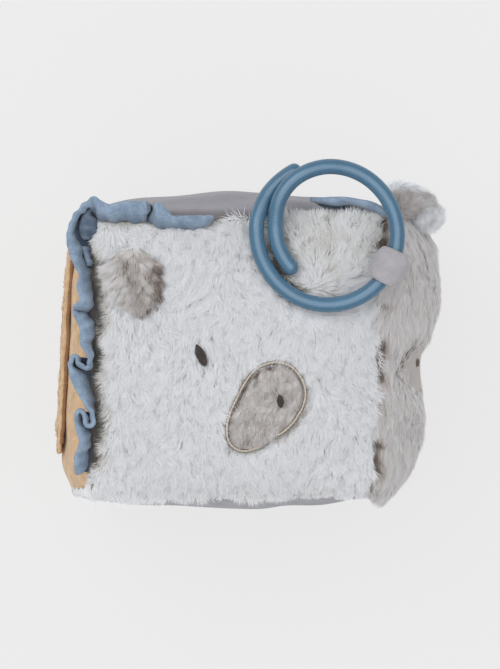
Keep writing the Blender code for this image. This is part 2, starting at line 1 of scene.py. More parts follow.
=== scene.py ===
# Soft fabric block: the looks of a stuffed cube that lies on its back. Plush front with an animal's
# face, blue gauze frill, ochre gauze side with a flap, jersey top and bottom, taupe plush side,
# a fluffy corner tuft and a blue link ring in a velour tab. All lengths are in metres.

import math

import bpy
import numpy as np
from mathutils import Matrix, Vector


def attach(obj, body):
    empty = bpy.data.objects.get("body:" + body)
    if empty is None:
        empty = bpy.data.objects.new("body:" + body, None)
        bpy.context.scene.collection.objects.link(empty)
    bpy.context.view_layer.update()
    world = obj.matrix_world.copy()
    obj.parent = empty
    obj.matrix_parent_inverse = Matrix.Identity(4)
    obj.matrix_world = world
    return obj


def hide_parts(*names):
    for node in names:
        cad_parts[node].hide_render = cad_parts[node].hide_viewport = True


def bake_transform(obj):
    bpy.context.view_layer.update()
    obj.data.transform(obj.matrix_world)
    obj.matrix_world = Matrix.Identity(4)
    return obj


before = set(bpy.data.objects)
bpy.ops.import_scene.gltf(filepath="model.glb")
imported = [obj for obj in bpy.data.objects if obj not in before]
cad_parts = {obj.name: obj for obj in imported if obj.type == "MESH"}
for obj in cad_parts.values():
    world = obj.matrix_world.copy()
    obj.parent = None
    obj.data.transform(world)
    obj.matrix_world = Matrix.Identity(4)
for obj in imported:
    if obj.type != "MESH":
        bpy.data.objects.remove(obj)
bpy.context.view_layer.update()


def unit(vectors):
    return vectors / np.maximum(np.linalg.norm(vectors, axis=-1, keepdims=True), 1e-12)


def pair(first, second):
    return np.stack([first, second], -1)


def wayOf(angle):
    return pair(np.cos(angle), np.sin(angle))


def ripple(x, y, length, seed, count=9):
    # smooth noise, about -1 to 1, from crossed sine waves of about this length
    draw = np.random.default_rng(seed)
    total = np.zeros(np.broadcast(x, y).shape)
    for _ in range(count):
        turn, phase = draw.uniform(0, 2 * math.pi, 2)
        pitch = length * draw.uniform(0.6, 1.7)
        total += np.sin((x * math.cos(turn) + y * math.sin(turn)) * 2 * math.pi / pitch + phase)
    return total / math.sqrt(count)


def scatter(cells, salt):
    # a fixed number from 0 to 1 for each whole-number cell
    mixed = np.sin(cells[..., 0] * 127.1 + cells[..., 1] * 311.7 + salt * 74.7) * 43758.5453
    return mixed - np.floor(mixed)


def easeIn(x, low, high):
    t = np.clip((x - low) / (high - low), 0, 1)
    return t * t * (3 - 2 * t)


def easeOut(x, low, high):
    return 1 - easeIn(x, low, high)


def hump(x, middle, width):
    # 1 at the middle, falling off to both sides
    return np.exp(-((x - middle) / width) ** 2)


def runOf(line):
    # the way along a line to each of its points
    return np.concatenate([[0], np.cumsum(np.linalg.norm(np.diff(line, axis=0), axis=1))])


def smoothLine(controls, steps):
    controls = np.asarray(controls, float)
    padded = np.concatenate([[2 * controls[0] - controls[1]], controls, [2 * controls[-1] - controls[-2]]])
    p0, p1, p2, p3 = (padded[k:len(padded) - 3 + k, None] for k in range(4))
    t = (np.arange(steps) / steps)[None, :, None]
    line = 2 * p1 + (p2 - p0) * t + (2 * p0 - 5 * p1 + 4 * p2 - p3) * t**2 + (3 * p1 - p0 - 3 * p2 + p3) * t**3
    return np.concatenate([line.reshape(-1, controls.shape[1]) / 2, controls[-1:]])


# Materials

colours = {
    "plushDeep": (0.078, 0.074, 0.074), "plushShade": (0.68, 0.655, 0.6), "plushMiddle": (0.89, 0.9, 0.915),
    "plushPale": (0.935, 0.95, 0.985), "plushRoot": (0.88, 0.875, 0.85), "taupeDeep": (0.16, 0.12, 0.1),
    "taupeShade": (0.7, 0.65, 0.62), "taupeMiddle": (0.82, 0.8, 0.8), "taupePale": (0.89, 0.885, 0.895),
    "taupeRoot": (0.72, 0.68, 0.66), "faceDeep": (0.1, 0.07, 0.06), "faceShade": (0.38, 0.335, 0.31),
    "faceMiddle": (0.6, 0.57, 0.555), "facePale": (0.78, 0.77, 0.78), "faceRoot": (0.46, 0.42, 0.4),
    "velour": (0.445, 0.43, 0.455), "shape": (0.47, 0.44, 0.43), "ochre": (0.75, 0.51, 0.285),
    "ochreDeep": (0.46, 0.27, 0.125), "blueGauze": (0.295, 0.39, 0.515), "blueDeep": (0.15, 0.215, 0.31),
    "jersey": (0.29, 0.29, 0.335), "jerseyDeep": (0.255, 0.25, 0.285), "jerseyLow": (0.4, 0.405, 0.455),
    "plastic": (0.092, 0.2, 0.31), "thread": (0.062, 0.046, 0.042), "cord": (0.74, 0.66, 0.56),
    "cordDark": (0.24, 0.17, 0.115), "wadding": (0.86, 0.86, 0.86), "overlock": (0.42, 0.21, 0.09),
    "sewing": (0.46, 0.27, 0.125),
}


def newMaterial(name, colour, roughness, sheen=0.0, tint=(1, 1, 1)):
    material = bpy.data.materials.new(name)
    material.use_nodes = True
    tree = material.node_tree
    shader = tree.nodes["Principled BSDF"]
    values = {"Base Color": (*colour, 1), "Roughness": roughness, "Sheen Weight": sheen, "Sheen Roughness": 0.5,
              "Sheen Tint": (*tint, 1)}
    for key, value in values.items():
        shader.inputs[key].default_value = value
    return material, tree, shader


def addNode(tree, kind, values, **settings):
    node = tree.nodes.new("ShaderNode" + kind)
    for key, value in settings.items():
        setattr(node, key, value)
    for key, value in values.items():
        if isinstance(value, bpy.types.NodeSocket):
            tree.links.new(value, node.inputs[key])
        else:
            node.inputs[key].default_value = value
    return node


def addRamp(tree, factor, stops):
    node = addNode(tree, "ValToRGB", {"Fac": factor})
    items = node.color_ramp.elements
    while len(items) < len(stops):
        items.new(0.5)
    for item, (place, colour) in zip(items, stops):
        item.position = place
        item.color = (*colour, 1)
    return node.outputs["Color"]


def mixColours(tree, factor, first, second, blend="MIX"):
    values = {0: factor, 6: first, 7: second}
    return addNode(tree, "Mix", values, data_type="RGBA", blend_type=blend).outputs[2]


def mathOf(tree, operation, first, second):
    return addNode(tree, "Math", {0: first, 1: second}, operation=operation).outputs[0]


def sumOf(tree, *terms):
    # fields added up, each times its share
    total = None
    for field, share in terms:
        part = mathOf(tree, "MULTIPLY", field, share)
        total = part if total is None else mathOf(tree, "ADD", total, part)
    return total


def placeOf(tree):
    return addNode(tree, "TexCoord", {}).outputs["Object"]


def noiseOf(tree, place, size, detail=3.0, roughness=0.55):
    values = {"Vector": place, "Scale": 1 / size, "Detail": detail, "Roughness": roughness}
    return addNode(tree, "TexNoise", values).outputs["Fac"]


def linesOf(tree, place, pitch, way, wobble=0.6):
    # threads that run across one axis, a pitch apart
    values = {"Vector": place, "Scale": 2 * math.pi / 20 / pitch, "Distortion": wobble, "Detail": 2.0,
              "Detail Scale": 0.6}
    return addNode(tree, "TexWave", values, bands_direction=way).outputs["Fac"]


def paintFoldShade(tree, colour, low, high, shade):
    # painted shade: cloth darkened deep in its folds and beside its seams, a shade that fades out between two heights
    rise = addNode(tree, "SeparateXYZ", {0: placeOf(tree)}).outputs["Z"]
    share = addNode(tree, "MapRange", {"Value": rise, "From Min": low, "From Max": high})
    shades = addRamp(tree, share.outputs[0], [(0.0, shade), (1.0, (1, 1, 1))])
    return mixColours(tree, 1.0, colour, shades, "MULTIPLY")


def dress(tree, shader, colour, height, strength, depth):
    # a surface's colour and its fine relief
    tree.links.new(colour, shader.inputs["Base Color"])
    raised = addNode(tree, "Bump", {"Height": height, "Strength": strength, "Distance": depth})
    tree.links.new(raised.outputs["Normal"], shader.inputs["Normal"])


def wovenMaterial(name, pale, deep, pitch, crinkle, bump, foldShade):
    # loosely woven double gauze: threads three ways, slubs, and soft crinkles
    material, tree, shader = newMaterial(name, pale, 0.92, 0.25)
    place = placeOf(tree)
    weave = sumOf(tree, *((linesOf(tree, place, pitch, way), 0.333) for way in "XYZ"))
    slubs = noiseOf(tree, place, pitch * 5, 4.0, 0.7)
    folds = noiseOf(tree, place, crinkle, 3.0, 0.5)
    shade = sumOf(tree, (weave, 0.14), (slubs, 0.30), (folds, 0.40))
    # painted shade by height: deep in the gauze's folds, and beside the front seam under the frill
    colour = paintFoldShade(tree, addRamp(tree, shade, [(0.26, deep), (0.50, pale)]), *foldShade)
    dress(tree, shader, colour, sumOf(tree, (weave, 0.16), (folds, 1.0)), 0.7, bump)
    return material


def knitMaterial(name, pale, deep):
    # fine jersey: close ribs with a brushed, slightly mottled face
    material, tree, shader = newMaterial(name, pale, 0.9, 0.3)
    place = placeOf(tree)
    rib = sumOf(tree, *((linesOf(tree, place, pitch, way, 0.3), 0.333)
                        for way, pitch in (("X", 0.0009), ("Y", 0.0009), ("Z", 0.00063))))
    shade = sumOf(tree, (rib, 0.14), (noiseOf(tree, place, 0.009, 4.0, 0.6), 0.86))
    # painted shade: the jersey turns darker and browner towards the front seam, beside the frill
    colour = paintFoldShade(tree, addRamp(tree, shade, [(0.3, deep), (0.7, pale)]), 0.1156, 0.1060, (0.60, 0.54, 0.48))
    dress(tree, shader, colour, sumOf(tree, (rib, 0.5), (noiseOf(tree, place, 0.0012, 2.0), 1.0)), 0.6, 0.0003)
    return material


def velourMaterial(name, pale, deep):
    # short dense pile: brushed marks and a fine nap
    material, tree, shader = newMaterial(name, pale, 0.95, 0.5, (0.9, 0.88, 0.86))
    place = placeOf(tree)
    nap = noiseOf(tree, place, 0.0011, 3.0, 0.7)
    shade = sumOf(tree, (noiseOf(tree, place, 0.006, 5.0, 0.65), 0.6), (nap, 0.4))
    dress(tree, shader, addRamp(tree, shade, [(0.33, deep), (0.62, pale)]), nap, 0.8, 0.0003)
    return material


def pileMaterial(name, tones, root):
    # a strand's map holds its tone across and the way from root to tip up
    sheen = 0.45
    material, tree, shader = newMaterial(name, tones[2], 0.85, sheen)
    way = addNode(tree, "SeparateXYZ", {0: addNode(tree, "UVMap", {}, uv_map="OFBake").outputs[0]})
    across, up = way.outputs["X"], way.outputs["Y"]
    # low tones are dark: the piles lower a strand's tone at random and to paint in shade
    tone = addRamp(tree, across, list(zip((0.0, 0.25, 0.55, 1.0), tones)))
    lift = addRamp(tree, across, [(0.0, tuple(c * 0.3 for c in root)), (0.3, root)])
    fade = addRamp(tree, up, [(0.0, (0, 0, 0)), (0.4, (1, 1, 1))])
    tree.links.new(mixColours(tree, fade, lift, tone), shader.inputs["Base Color"])
    gloss = addRamp(tree, across, [(0.05, (0, 0, 0)), (0.45, (sheen,) * 3)])
    tree.links.new(gloss, shader.inputs["Sheen Weight"])
    return material


def threadMaterial(name, pale, deep, pitch, roughness, way):
    material, tree, shader = newMaterial(name, pale, roughness, 0.2)
    place = placeOf(tree)
    lines = linesOf(tree, place, pitch, way, 0.4)
    shade = sumOf(tree, (lines, 0.6), (noiseOf(tree, place, pitch * 4), 0.4))
    dress(tree, shader, addRamp(tree, shade, [(0.2, deep), (0.75, pale)]), lines, 0.8, 0.0002)
    return material


def plasticMaterial(name, colour):
    # moulded plastic with a satin gloss: faint flow marks and a very fine unevenness
    material, tree, shader = newMaterial(name, colour, 0.3)
    place = placeOf(tree)
    flow = addRamp(tree, noiseOf(tree, place, 0.02), [(0.35, tuple(c * 0.88 for c in colour)), (0.65, colour)])
    gloss = addRamp(tree, noiseOf(tree, place, 0.004, 4.0), [(0.3, (0.22,) * 3), (0.75, (0.32,) * 3)])
    tree.links.new(gloss, shader.inputs["Roughness"])
    dress(tree, shader, flow, noiseOf(tree, place, 0.0035, 2.0), 0.04, 0.0002)
    return material


def darker(key, share):
    return tuple(c * share for c in colours[key])


finishes = {
    # each gauze's last values: the two heights between which its painted shade fades, and the shade's colour
    "ochre": wovenMaterial("ochreGauze", colours["ochre"], colours["ochreDeep"], 0.0008, 0.007, 0.0006,
                           (0.1137, 0.1118, (0.07, 0.06, 0.055))),
    "blue": wovenMaterial("blueGauze", colours["blueGauze"], colours["blueDeep"], 0.0007, 0.005, 0.0008,
                          (0.1156, 0.1226, (0.17, 0.19, 0.22))),
    "jersey": knitMaterial("lilacJersey", colours["jersey"], colours["jerseyDeep"]),
    "jerseyLow": knitMaterial("paleJersey", colours["jerseyLow"], colours["jersey"]),
    "plastic": plasticMaterial("bluePlastic", colours["plastic"]),
}
for key in ("plush", "taupe", "face"):
    tones = [colours[key + tone] for tone in ("Deep", "Shade", "Middle", "Pale")]
    finishes[key + "Backing"] = velourMaterial(key + "Backing", tones[2], colours[key + "Root"])
    finishes[key + "Pile"] = pileMaterial(key + "Pile", tones, colours[key + "Root"])
for key, name, share in (("shape", "shapeVelour", 0.82), ("velour", "tabVelour", 0.78), ("wadding", "wadding", 0.8)):
    finishes[key] = velourMaterial(name, colours[key], darker(key, share))
# threads, some of them dark tubes that paint shade beside the cord and the flap's edge: name, how dark their hollows
# are, pitch, roughness, the way they lie
threads = {
    "thread": ("darkThread", 0.5, 0.0005, 0.55, "X"), "cord": ("satinCord", 0.7, 0.0006, 0.4, "X"),
    "cordDark": ("cordShade", 0.5, 0.0006, 0.6, "X"), "sewing": ("sewingThread", 0.6, 0.0004, 0.6, "X"),
    "overlock": ("overlockThread", 0.5, 0.0007, 0.8, "Y"),
}
for key, (name, share, *rest) in threads.items():
    finishes[key] = threadMaterial(name, colours[key], darker(key, share), *rest)
print("materials made", len(finishes))


# Meshes

def meshFrom(points, faceSets):
    mesh = bpy.data.meshes.new("mesh")
    mesh.vertices.add(len(points))
    mesh.vertices.foreach_set("co", np.ascontiguousarray(points, np.float32).ravel())
    corners = np.concatenate([faces.ravel() for faces in faceSets]).astype(np.int32)
    sizes = np.concatenate([np.full(len(faces), faces.shape[1]) for faces in faceSets])
    mesh.loops.add(len(corners))
    mesh.loops.foreach_set("vertex_index", corners)
    mesh.polygons.add(len(sizes))
    mesh.polygons.foreach_set("loop_start", (np.cumsum(sizes) - sizes).astype(np.int32))
    mesh.update(calc_edges=True)
    mesh.shade_smooth()
    return mesh


def addPiece(name, mesh, finish, body="block", replaces=()):
    mesh.name = name
    piece = bpy.data.objects.new(name, mesh)
    bpy.context.scene.collection.objects.link(piece)
    mesh.materials.append(finishes[finish])
    if body:
        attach(piece, body)
    if replaces:
        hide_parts(*replaces)
    return piece


def gridFaces(rows, columns, start=0, loop=False):
    # quads over a grid of points; loop joins the last column to the first
    i, j = np.meshgrid(np.arange(rows - 1), np.arange(columns if loop else columns - 1), indexing="ij")
    after = (j + 1) % columns
    quads = [i * columns + j, i * columns + after, (i + 1) * columns + after, (i + 1) * columns + j]
    return np.stack(quads, -1).reshape(-1, 4) + start


def cappedFaces(rows, columns, start=0):
    # a looped grid and a fan to a point at each end; the two points follow the grid's own
    first, end = np.arange(columns) + start, start + rows * columns
    last = first + (rows - 1) * columns
    return [
        gridFaces(rows, columns, start, True),
        np.stack([np.roll(first, -1), first, np.full(columns, end)], -1),
        np.stack([last, np.roll(last, -1), np.full(columns, end + 1)], -1),
    ]


def shellMesh(outer, inner):
    # a closed cloth of two grids, outer and inner, joined round the rim
    rows, columns = outer.shape[:2]
    count = rows * columns
    index = np.arange(count).reshape(rows, columns)
    rim = np.concatenate([index[:, 0], index[-1, 1:], index[-2::-1, -1], index[0, -2:0:-1]])
    after = np.roll(rim, -1)
    faces = [
        gridFaces(rows, columns), gridFaces(rows, columns, count)[:, ::-1],
        np.stack([rim, rim + count, after + count, after], -1)[:, ::-1],
    ]
    return meshFrom(np.concatenate([outer.reshape(-1, 3), inner.reshape(-1, 3)]), faces)


def tube(line, radius, sides, closed=False):
    # a round tube's points and faces, with a point at each end if it is open
    radii = np.broadcast_to(radius, len(line))
    ahead = np.roll(line, -1, 0) - np.roll(line, 1, 0)
    if not closed:
        ahead[0], ahead[-1] = line[1] - line[0], line[-1] - line[-2]
    ahead = unit(ahead)
    side = unit(np.cross(ahead, [0, 0, 1.0]))
    rise = np.cross(side, ahead)
    turn = np.linspace(0, 2 * math.pi, sides, endpoint=False)[None, :, None]
    around = side[:, None] * np.cos(turn) + rise[:, None] * np.sin(turn)
    points = (line[:, None] + around * radii[:, None, None]).reshape(-1, 3)
    if closed:
        return points, [gridFaces(len(line) + 1, sides, 0, True) % len(points)]
    tips = [line[0] - ahead[0] * radii[0] * 0.3, line[-1] + ahead[-1] * radii[-1] * 0.3]
    return np.concatenate([points, tips]), cappedFaces(len(line), sides)


# The stuffed block's form: the same swelling as its solid

block = {
    "halfWidth": 0.060, "halfHeight": 0.0585, "halfDepth": 0.056, "middle": 0.0605,
    "frontCrown": 0.008, "backCrown": 0.005, "seamLean": 0.0022,
    "left": (0.0115, 0.5, 4, -0.2), "right": (1.0, 0, 4, 0),
    "top": (0.0102, 0.8, 2.5, 0), "bottom": (1.0, 0, 3, 0),
    # how far the bottom side swells, from left to right, and the right side, from its lower end up
    "bottomSwell": [0.0004, 0.0026, 0.0037, 0.0036, 0.0043, 0.0053, 0.0057, 0.0040, 0.0031, 0.0013, 0.0010],
    "rightSwell": [0.0066, 0.0146, 0.0186, 0.0192, 0.0176, 0.0170, 0.0218, 0.0240, 0.0232, 0.0200, 0.0125],
}
halfWidth, halfHeight = block["halfWidth"], block["halfHeight"]
halfDepth, middleZ = block["halfDepth"], block["middle"]
swells = ("bottomSwell", "rightSwell")
bottomSwell, rightSwell = (smoothLine(np.array(block[key])[:, None], 8)[:, 0] for key in swells)


def signedPower(x, power):
    return np.sign(x) * np.abs(x) ** power


def blockSkin(a, b, c):
    a, b, c = np.broadcast_arrays(np.asarray(a, float), b, c)
    xCrown, xDraw, xPower, xLean = (np.where(a > 0, r, l) for r, l in zip(block["right"], block["left"]))
    yCrown, yDraw, yPower, yLean = (np.where(b > 0, t, l) for t, l in zip(block["top"], block["bottom"]))
    deep = 1 - np.abs(c) ** 2.4
    xFill = (1 - xDraw * np.abs(b) ** xPower) * (1 + xLean * b)
    yFill = (1 - yDraw * np.abs(a) ** yPower) * (1 + yLean * a)
    xFill = np.where(a > 0, np.interp(b, np.linspace(-1, 1, len(rightSwell)), rightSwell), xFill)
    yFill = np.where(b > 0, yFill, np.interp(a, np.linspace(-1, 1, len(bottomSwell)), bottomSwell))
    x = halfWidth * a + signedPower(a, 3) * xCrown * xFill * deep
    y = halfHeight * b + signedPower(b, 3) * yCrown * yFill * deep
    crown = np.where(c > 0, block["frontCrown"], block["backCrown"]) * (1 - np.abs(a) ** 2.6) * (1 - np.abs(b) ** 2.6)
    z = middleZ + halfDepth * c + signedPower(c, 3) * crown
    return np.stack([x + block["seamLean"] * b * np.maximum(a, 0), y, z], -1)


sideMaps = {
    "front": (lambda u, v: (u, v, np.ones_like(u)), 1),
    "back": (lambda u, v: (-u, v, -np.ones_like(u)), 1),
    "left": (lambda u, v: (-np.ones_like(u), u, v), -1),
    "right": (lambda u, v: (np.ones_like(u), u, v), 1),
    "top": (lambda u, v: (u, np.ones_like(u), v), -1),
    "bottom": (lambda u, v: (u, -np.ones_like(u), v), 1),
}


def onSide(side, u, v):
    # points on a side, with its outward normal and its two directions
    toCube, sign = sideMaps[side]
    step = 2e-3
    along = unit(blockSkin(*toCube(u + step, v)) - blockSkin(*toCube(u - step, v)))
    across = unit(blockSkin(*toCube(u, v + step)) - blockSkin(*toCube(u, v - step)))
    return blockSkin(*toCube(u, v)), unit(np.cross(along, across)) * sign, along, across


def inwardOf(side, u, v):
    # the way in from a point, shared by both panels at their seam
    return -unit(signedPower(np.stack(sideMaps[side][0](u, v), -1), 6))


def sizesOf(side):
    if side in ("left", "right"):
        return halfHeight, halfDepth
    return halfWidth, halfHeight if side in ("front", "back") else halfDepth


# Where the ring, the muzzle and the other things on the front keep the pile down

ring = {
    "centre": (0.0385, 0.0504, 0.12654), "radius": 0.0289, "rod": 0.0064, "tab": -27,
    # the spiral from its outer tip to its inner one: angle, radius and height in millimetres
    "line": [
        (-248, 30.3, -3.2), (-240, 30.3, -3.1), (-228, 30.3, -2.9), (-214, 30.4, -2.3), (-202, 30.2, -1),
        (-190, 30.1, 0), (-177, 29.6, 0), (-162, 29.2, 0), (-148, 28.9, 0), (-120, 28.9, 0), (-90, 28.9, 0),
        (-60, 28.9, 0), (-30, 28.9, 0), (0, 28.9, 0), (20, 28.9, 0), (40, 28.9, 0), (60, 28.9, 0.3),
        (76, 28.8, 1.2), (90, 28.6, 2.3), (104, 28.1, 3.1), (118, 27.4, 3.2), (131, 26.4, 2.9),
        (146, 24.9, 2.3), (158, 23.4, 1), (170, 22.3, 0), (182, 21.5, 0), (194, 21, 0), (206, 20.6, 0),
        (218, 20.4, 0), (229, 20.4, 0),
    ],
}

angle, radius, height = smoothLine(ring["line"], 6).T
ringLine = np.column_stack([(radius * wayOf(np.radians(angle)).T).T, height]) / 1000 + ring["centre"]


def fromLine(x, y, line):
    # each point's distance in plan from a line, taken at every third point
    points = pair(x, y)
    gap = np.full(len(points), 1.0)
    for spot in line[::3, :2]:
        gap = np.minimum(gap, np.linalg.norm(points - spot, axis=1))
    return gap


def reachOf(spec, angle):
    # how far a shape's outline lies from its middle, each way
    if "radii" in spec:
        reach = smoothLine(np.array(spec["radii"] + spec["radii"][:1])[:, None], 6)[:, 0]
        around = np.linspace(-math.pi, math.pi, len(reach))
    else:  # a leaning oval, narrower at its upper end where it has a taper
        turn = np.linspace(0, 2 * math.pi, 361)[:-1]
        narrow = 1 - spec["taper"] * np.maximum(0, np.sin(turn)) ** 2
        lean = math.radians(spec["tilt"])
        a, b = spec["width"] / 2 * np.cos(turn) * narrow, spec["length"] / 2 * np.sin(turn)
        p, q = a * math.cos(lean) - b * math.sin(lean), a * math.sin(lean) + b * math.cos(lean)
        order = np.argsort(np.arctan2(q, p))
        around, reach = np.arctan2(q, p)[order], np.hypot(p, q)[order]
    return np.interp(angle, around, reach, period=2 * math.pi) + spec.get("grow", 0)


def outlineOf(spec, turn, share=1):
    # the places of an outline's points, across and up, from its middle
    return reachOf(spec, turn) * share * wayOf(turn).T


def shapePlace(x, y, spec):
    # how far out a point lies in a shape (1 on its line), and its way out from the middle
    dx, dy = x - spec["centre"][0], y - spec["centre"][1]
    wayOut = np.arctan2(dy, dx)
    return np.hypot(dx, dy) / reachOf(spec, wayOut), wayOut


ear = {
    "centre": (-0.0412, 0.0316), "width": 0.0210, "length": 0.0292, "tilt": -160, "taper": 0.25,
    "thickness": 0.0030, "strands": 11000, "pile": 0.0062, "strandWidth": 0.00022, "tuft": 0.0021,
    "gather": 0.65, "spread": 0.9, "mottle": 0.34,
}
eye = {"centre": (-0.0144, 0.0006), "width": 0.0040, "length": 0.0098, "tilt": 22, "taper": 0.5, "thickness": 0.0022}
muzzle = {
    "centre": (0.0131, -0.0206), "thickness": 0.0030, "strands": 13000, "pile": 0.0042, "strandWidth": 0.00024,
    "tuft": 0.0013, "gather": 0.5, "spread": 0.5, "mottle": 0.16,
    # from its left side round by the lower edge, 15 degrees apart
    "radii": [
        0.0138, 0.0160, 0.0190, 0.0214, 0.0209, 0.0179, 0.0149, 0.0129, 0.0125, 0.0124, 0.0128, 0.0135,
        0.0149, 0.0164, 0.0176, 0.0184, 0.0189, 0.0185, 0.0173, 0.0159, 0.0141, 0.0129, 0.0124, 0.0126,
    ],
}
nostril = {"centre": (0.0187, -0.0184), "width": 0.0029, "length": 0.0055, "tilt": 8, "taper": 0.4,
           "thickness": 0.0018}


# Pile: strands of three faces each, gathered in tufts

def makePile(name, ground, angle, length, rise, tone, pile, finish, seed, parts=1):
    root, normal, along, across, flat = ground
    draw = np.random.default_rng(seed)
    count = len(root)
    cell = np.floor(flat / pile["tuft"])
    nearest, middle, tuft = np.full(count, 1.0), np.zeros((count, 2)), np.zeros((count, 2))
    for shift in ((i, j) for i in (-1, 0, 1) for j in (-1, 0, 1)):
        other = cell + shift
        spot = (other + 0.5 + 0.9 * (pair(scatter(other, 1), scatter(other, 2)) - 0.5)) * pile["tuft"]
        gap = np.linalg.norm(flat - spot, axis=1)
        closer = gap < nearest
        nearest[closer], middle[closer], tuft[closer] = gap[closer], spot[closer], other[closer]
    angle = angle + pile["spread"] * (scatter(tuft, 3) - 0.5) + draw.normal(0, pile.get("stray", 0.16), count)
    length = length * (0.82 + 0.36 * scatter(tuft, 4)) * draw.uniform(0.82, 1.12, count)
    rise = rise * (0.85 + 0.3 * scatter(tuft, 5)) * draw.uniform(0.9, 1.1, count)
    tone = tone + pile["mottle"] * (scatter(tuft, 6) - 0.5) + draw.normal(0, pile.get("grain", 0.09), count)
    tone = np.clip(tone, 0.02, 0.98)[:, None]
    lean = along * np.cos(angle)[:, None] + across * np.sin(angle)[:, None]
    pull = (along * (middle - flat)[:, :1] + across * (middle - flat)[:, 1:]) * pile["gather"]
    size, rise = length[:, None], rise[:, None]
    bend = root + normal * size * rise * 0.85 + lean * size * 0.12
    tip = root + normal * size * rise + lean * size * np.sqrt(np.maximum(0.9 - rise**2, 0.05)) + pull
    levels = np.array([0.0, 0.36, 0.72, 1.0])[None, :, None]
    line = root[:, None] * (1 - levels) ** 2 + bend[:, None] * 2 * levels * (1 - levels) + tip[:, None] * levels**2
    ahead = unit((bend - root)[:, None] * (1 - levels) + (tip - bend)[:, None] * levels)
    facing = unit(normal + np.array([0, 0, pile.get("upward", 0)]))[:, None]
    side = unit(np.cross(ahead, facing))
    face = unit(np.cross(side, ahead))
    roll = draw.normal(0, 0.5, count)[:, None, None]
    side, face = side * np.cos(roll) + face * np.sin(roll), face * np.cos(roll) - side * np.sin(roll)
    half = pile["strandWidth"] / 2 * np.array([[[0.8], [1.0], [0.72]]]) * draw.uniform(0.8, 1.2, count)[:, None, None]
    stem, side = line[:, :3], side[:, :3] * half
    points = np.concatenate([np.stack([stem - side, stem + side], 2).reshape(count, 6, 3), line[:, 3:]], 1)
    soft = unit(facing * 0.8 + face * 0.2)
    shadeWay = np.concatenate([np.repeat(soft[:, :3], 2, 1), soft[:, 3:]], 1)
    # each strand's seven points: two quads and a tip, and their places on the map
    quads, tip = np.array([[0, 1, 3, 2], [2, 3, 5, 4]]), np.array([[4, 5, 6]])
    sideways = np.array([-0.012, 0.012] * 3 + [0])
    up = np.array([0.02, 0.02, 0.36, 0.36, 0.72, 0.72, 0.98])
    for part in range(parts):
        chosen = np.arange(part, count, parts)
        start = (np.arange(len(chosen)) * 7)[:, None, None]
        faces = [(corners[None] + start).reshape(-1, corners.shape[1]) for corners in (quads, tip)]
        mesh = meshFrom(points[chosen].reshape(-1, 3), faces)
        uv = np.stack(np.broadcast_arrays(tone[chosen] + sideways, up[None]), -1).reshape(-1, 2)
        layer = mesh.uv_layers.new(name="OFBake")
        corner = np.concatenate([f.ravel() for f in faces])
        layer.data.foreach_set("uv", np.clip(uv, 0.001, 0.999)[corner].astype(np.float32).ravel())
        mesh.normals_split_custom_set_from_vertices(shadeWay[chosen].reshape(-1, 3).tolist())
        addPiece(name if parts == 1 else f"{name}_{part + 1}", mesh, finish)
    print(name, count, "strands")


def groundOn(side, u, v, lift, flat):
    # what a pile grows from: roots, the side's directions there, and the places in plan
    spot, normal, along, across = onSide(side, u, v)
    return spot + normal * np.broadcast_to(lift, len(u))[:, None], normal, along, across, flat


def spotsOn(side, count, seed):
    # evenly spread spots on a side, in shares of its half sizes
    draw = np.random.default_rng(seed)
    wide, high = sizesOf(side)
    rows = int(math.sqrt(count * high / wide))
    columns = count // rows
    spots = np.meshgrid((np.arange(columns) + 0.5) / columns, (np.arange(rows) + 0.5) / rows, indexing="ij")
    return ((k.ravel() + draw.uniform(-0.5, 0.5, k.size) / cells) * 2 - 1 for k, cells in zip(spots, (columns, rows)))


# Panels of the cover

plushCloth = {"cells": 72, "cloth": 0.0016, "sink": 0.0022, "dip": 0.0006, "pucker": 0.0, "swell": 0.0006}
thinCloth = {"cells": 96, "cloth": 0.0012, "sink": 0.0, "dip": 0.0010, "pucker": 0.0005, "swell": 0.0006,
             "finish": "jersey", "slot": "lilac_jersey"}
panels = {
    "front": dict(plushCloth, sink=0.0026, swell=0.0004, finish="plushBacking", slot="white_plush"),
    "right": dict(plushCloth, finish="taupeBacking", slot="taupe_plush"),
    "left": dict(thinCloth, pucker=0.0006, finish="ochre", slot="ochre_gauze"),
    "top": thinCloth,
    "bottom": dict(thinCloth, finish="jerseyLow"),
    "back": dict(thinCloth, cells=72, pucker=0.0003, swell=0.0),
}


def clothRelief(side, u, v, spec):
    # how far a cloth stands off the plain form: drawn in at the seams, puckered beside them
    wide, high = sizesOf(side)
    p, q = u * wide, v * high
    gapU, gapV = (1 - np.abs(u)) * wide, (1 - np.abs(v)) * high
    gap = np.minimum(gapU, gapV)
    relief = -spec["dip"] * hump(gap, 0, 0.0016)
    seed = sum(ord(letter) for letter in side)
    for distance, along, which, number in ((gapV, p, v, 0), (gapU, q, u, 1)):
        gathers = ripple(along, np.sign(which) * 0.1, 0.008, seed + number, 7)
        relief += spec["pucker"] * gathers * np.exp(-distance / 0.010) * (1 - np.exp(-distance / 0.0012))
    return relief + spec["swell"] * ripple(p, q, 0.035, seed + 5) * (1 - hump(gap, 0, 0.012))


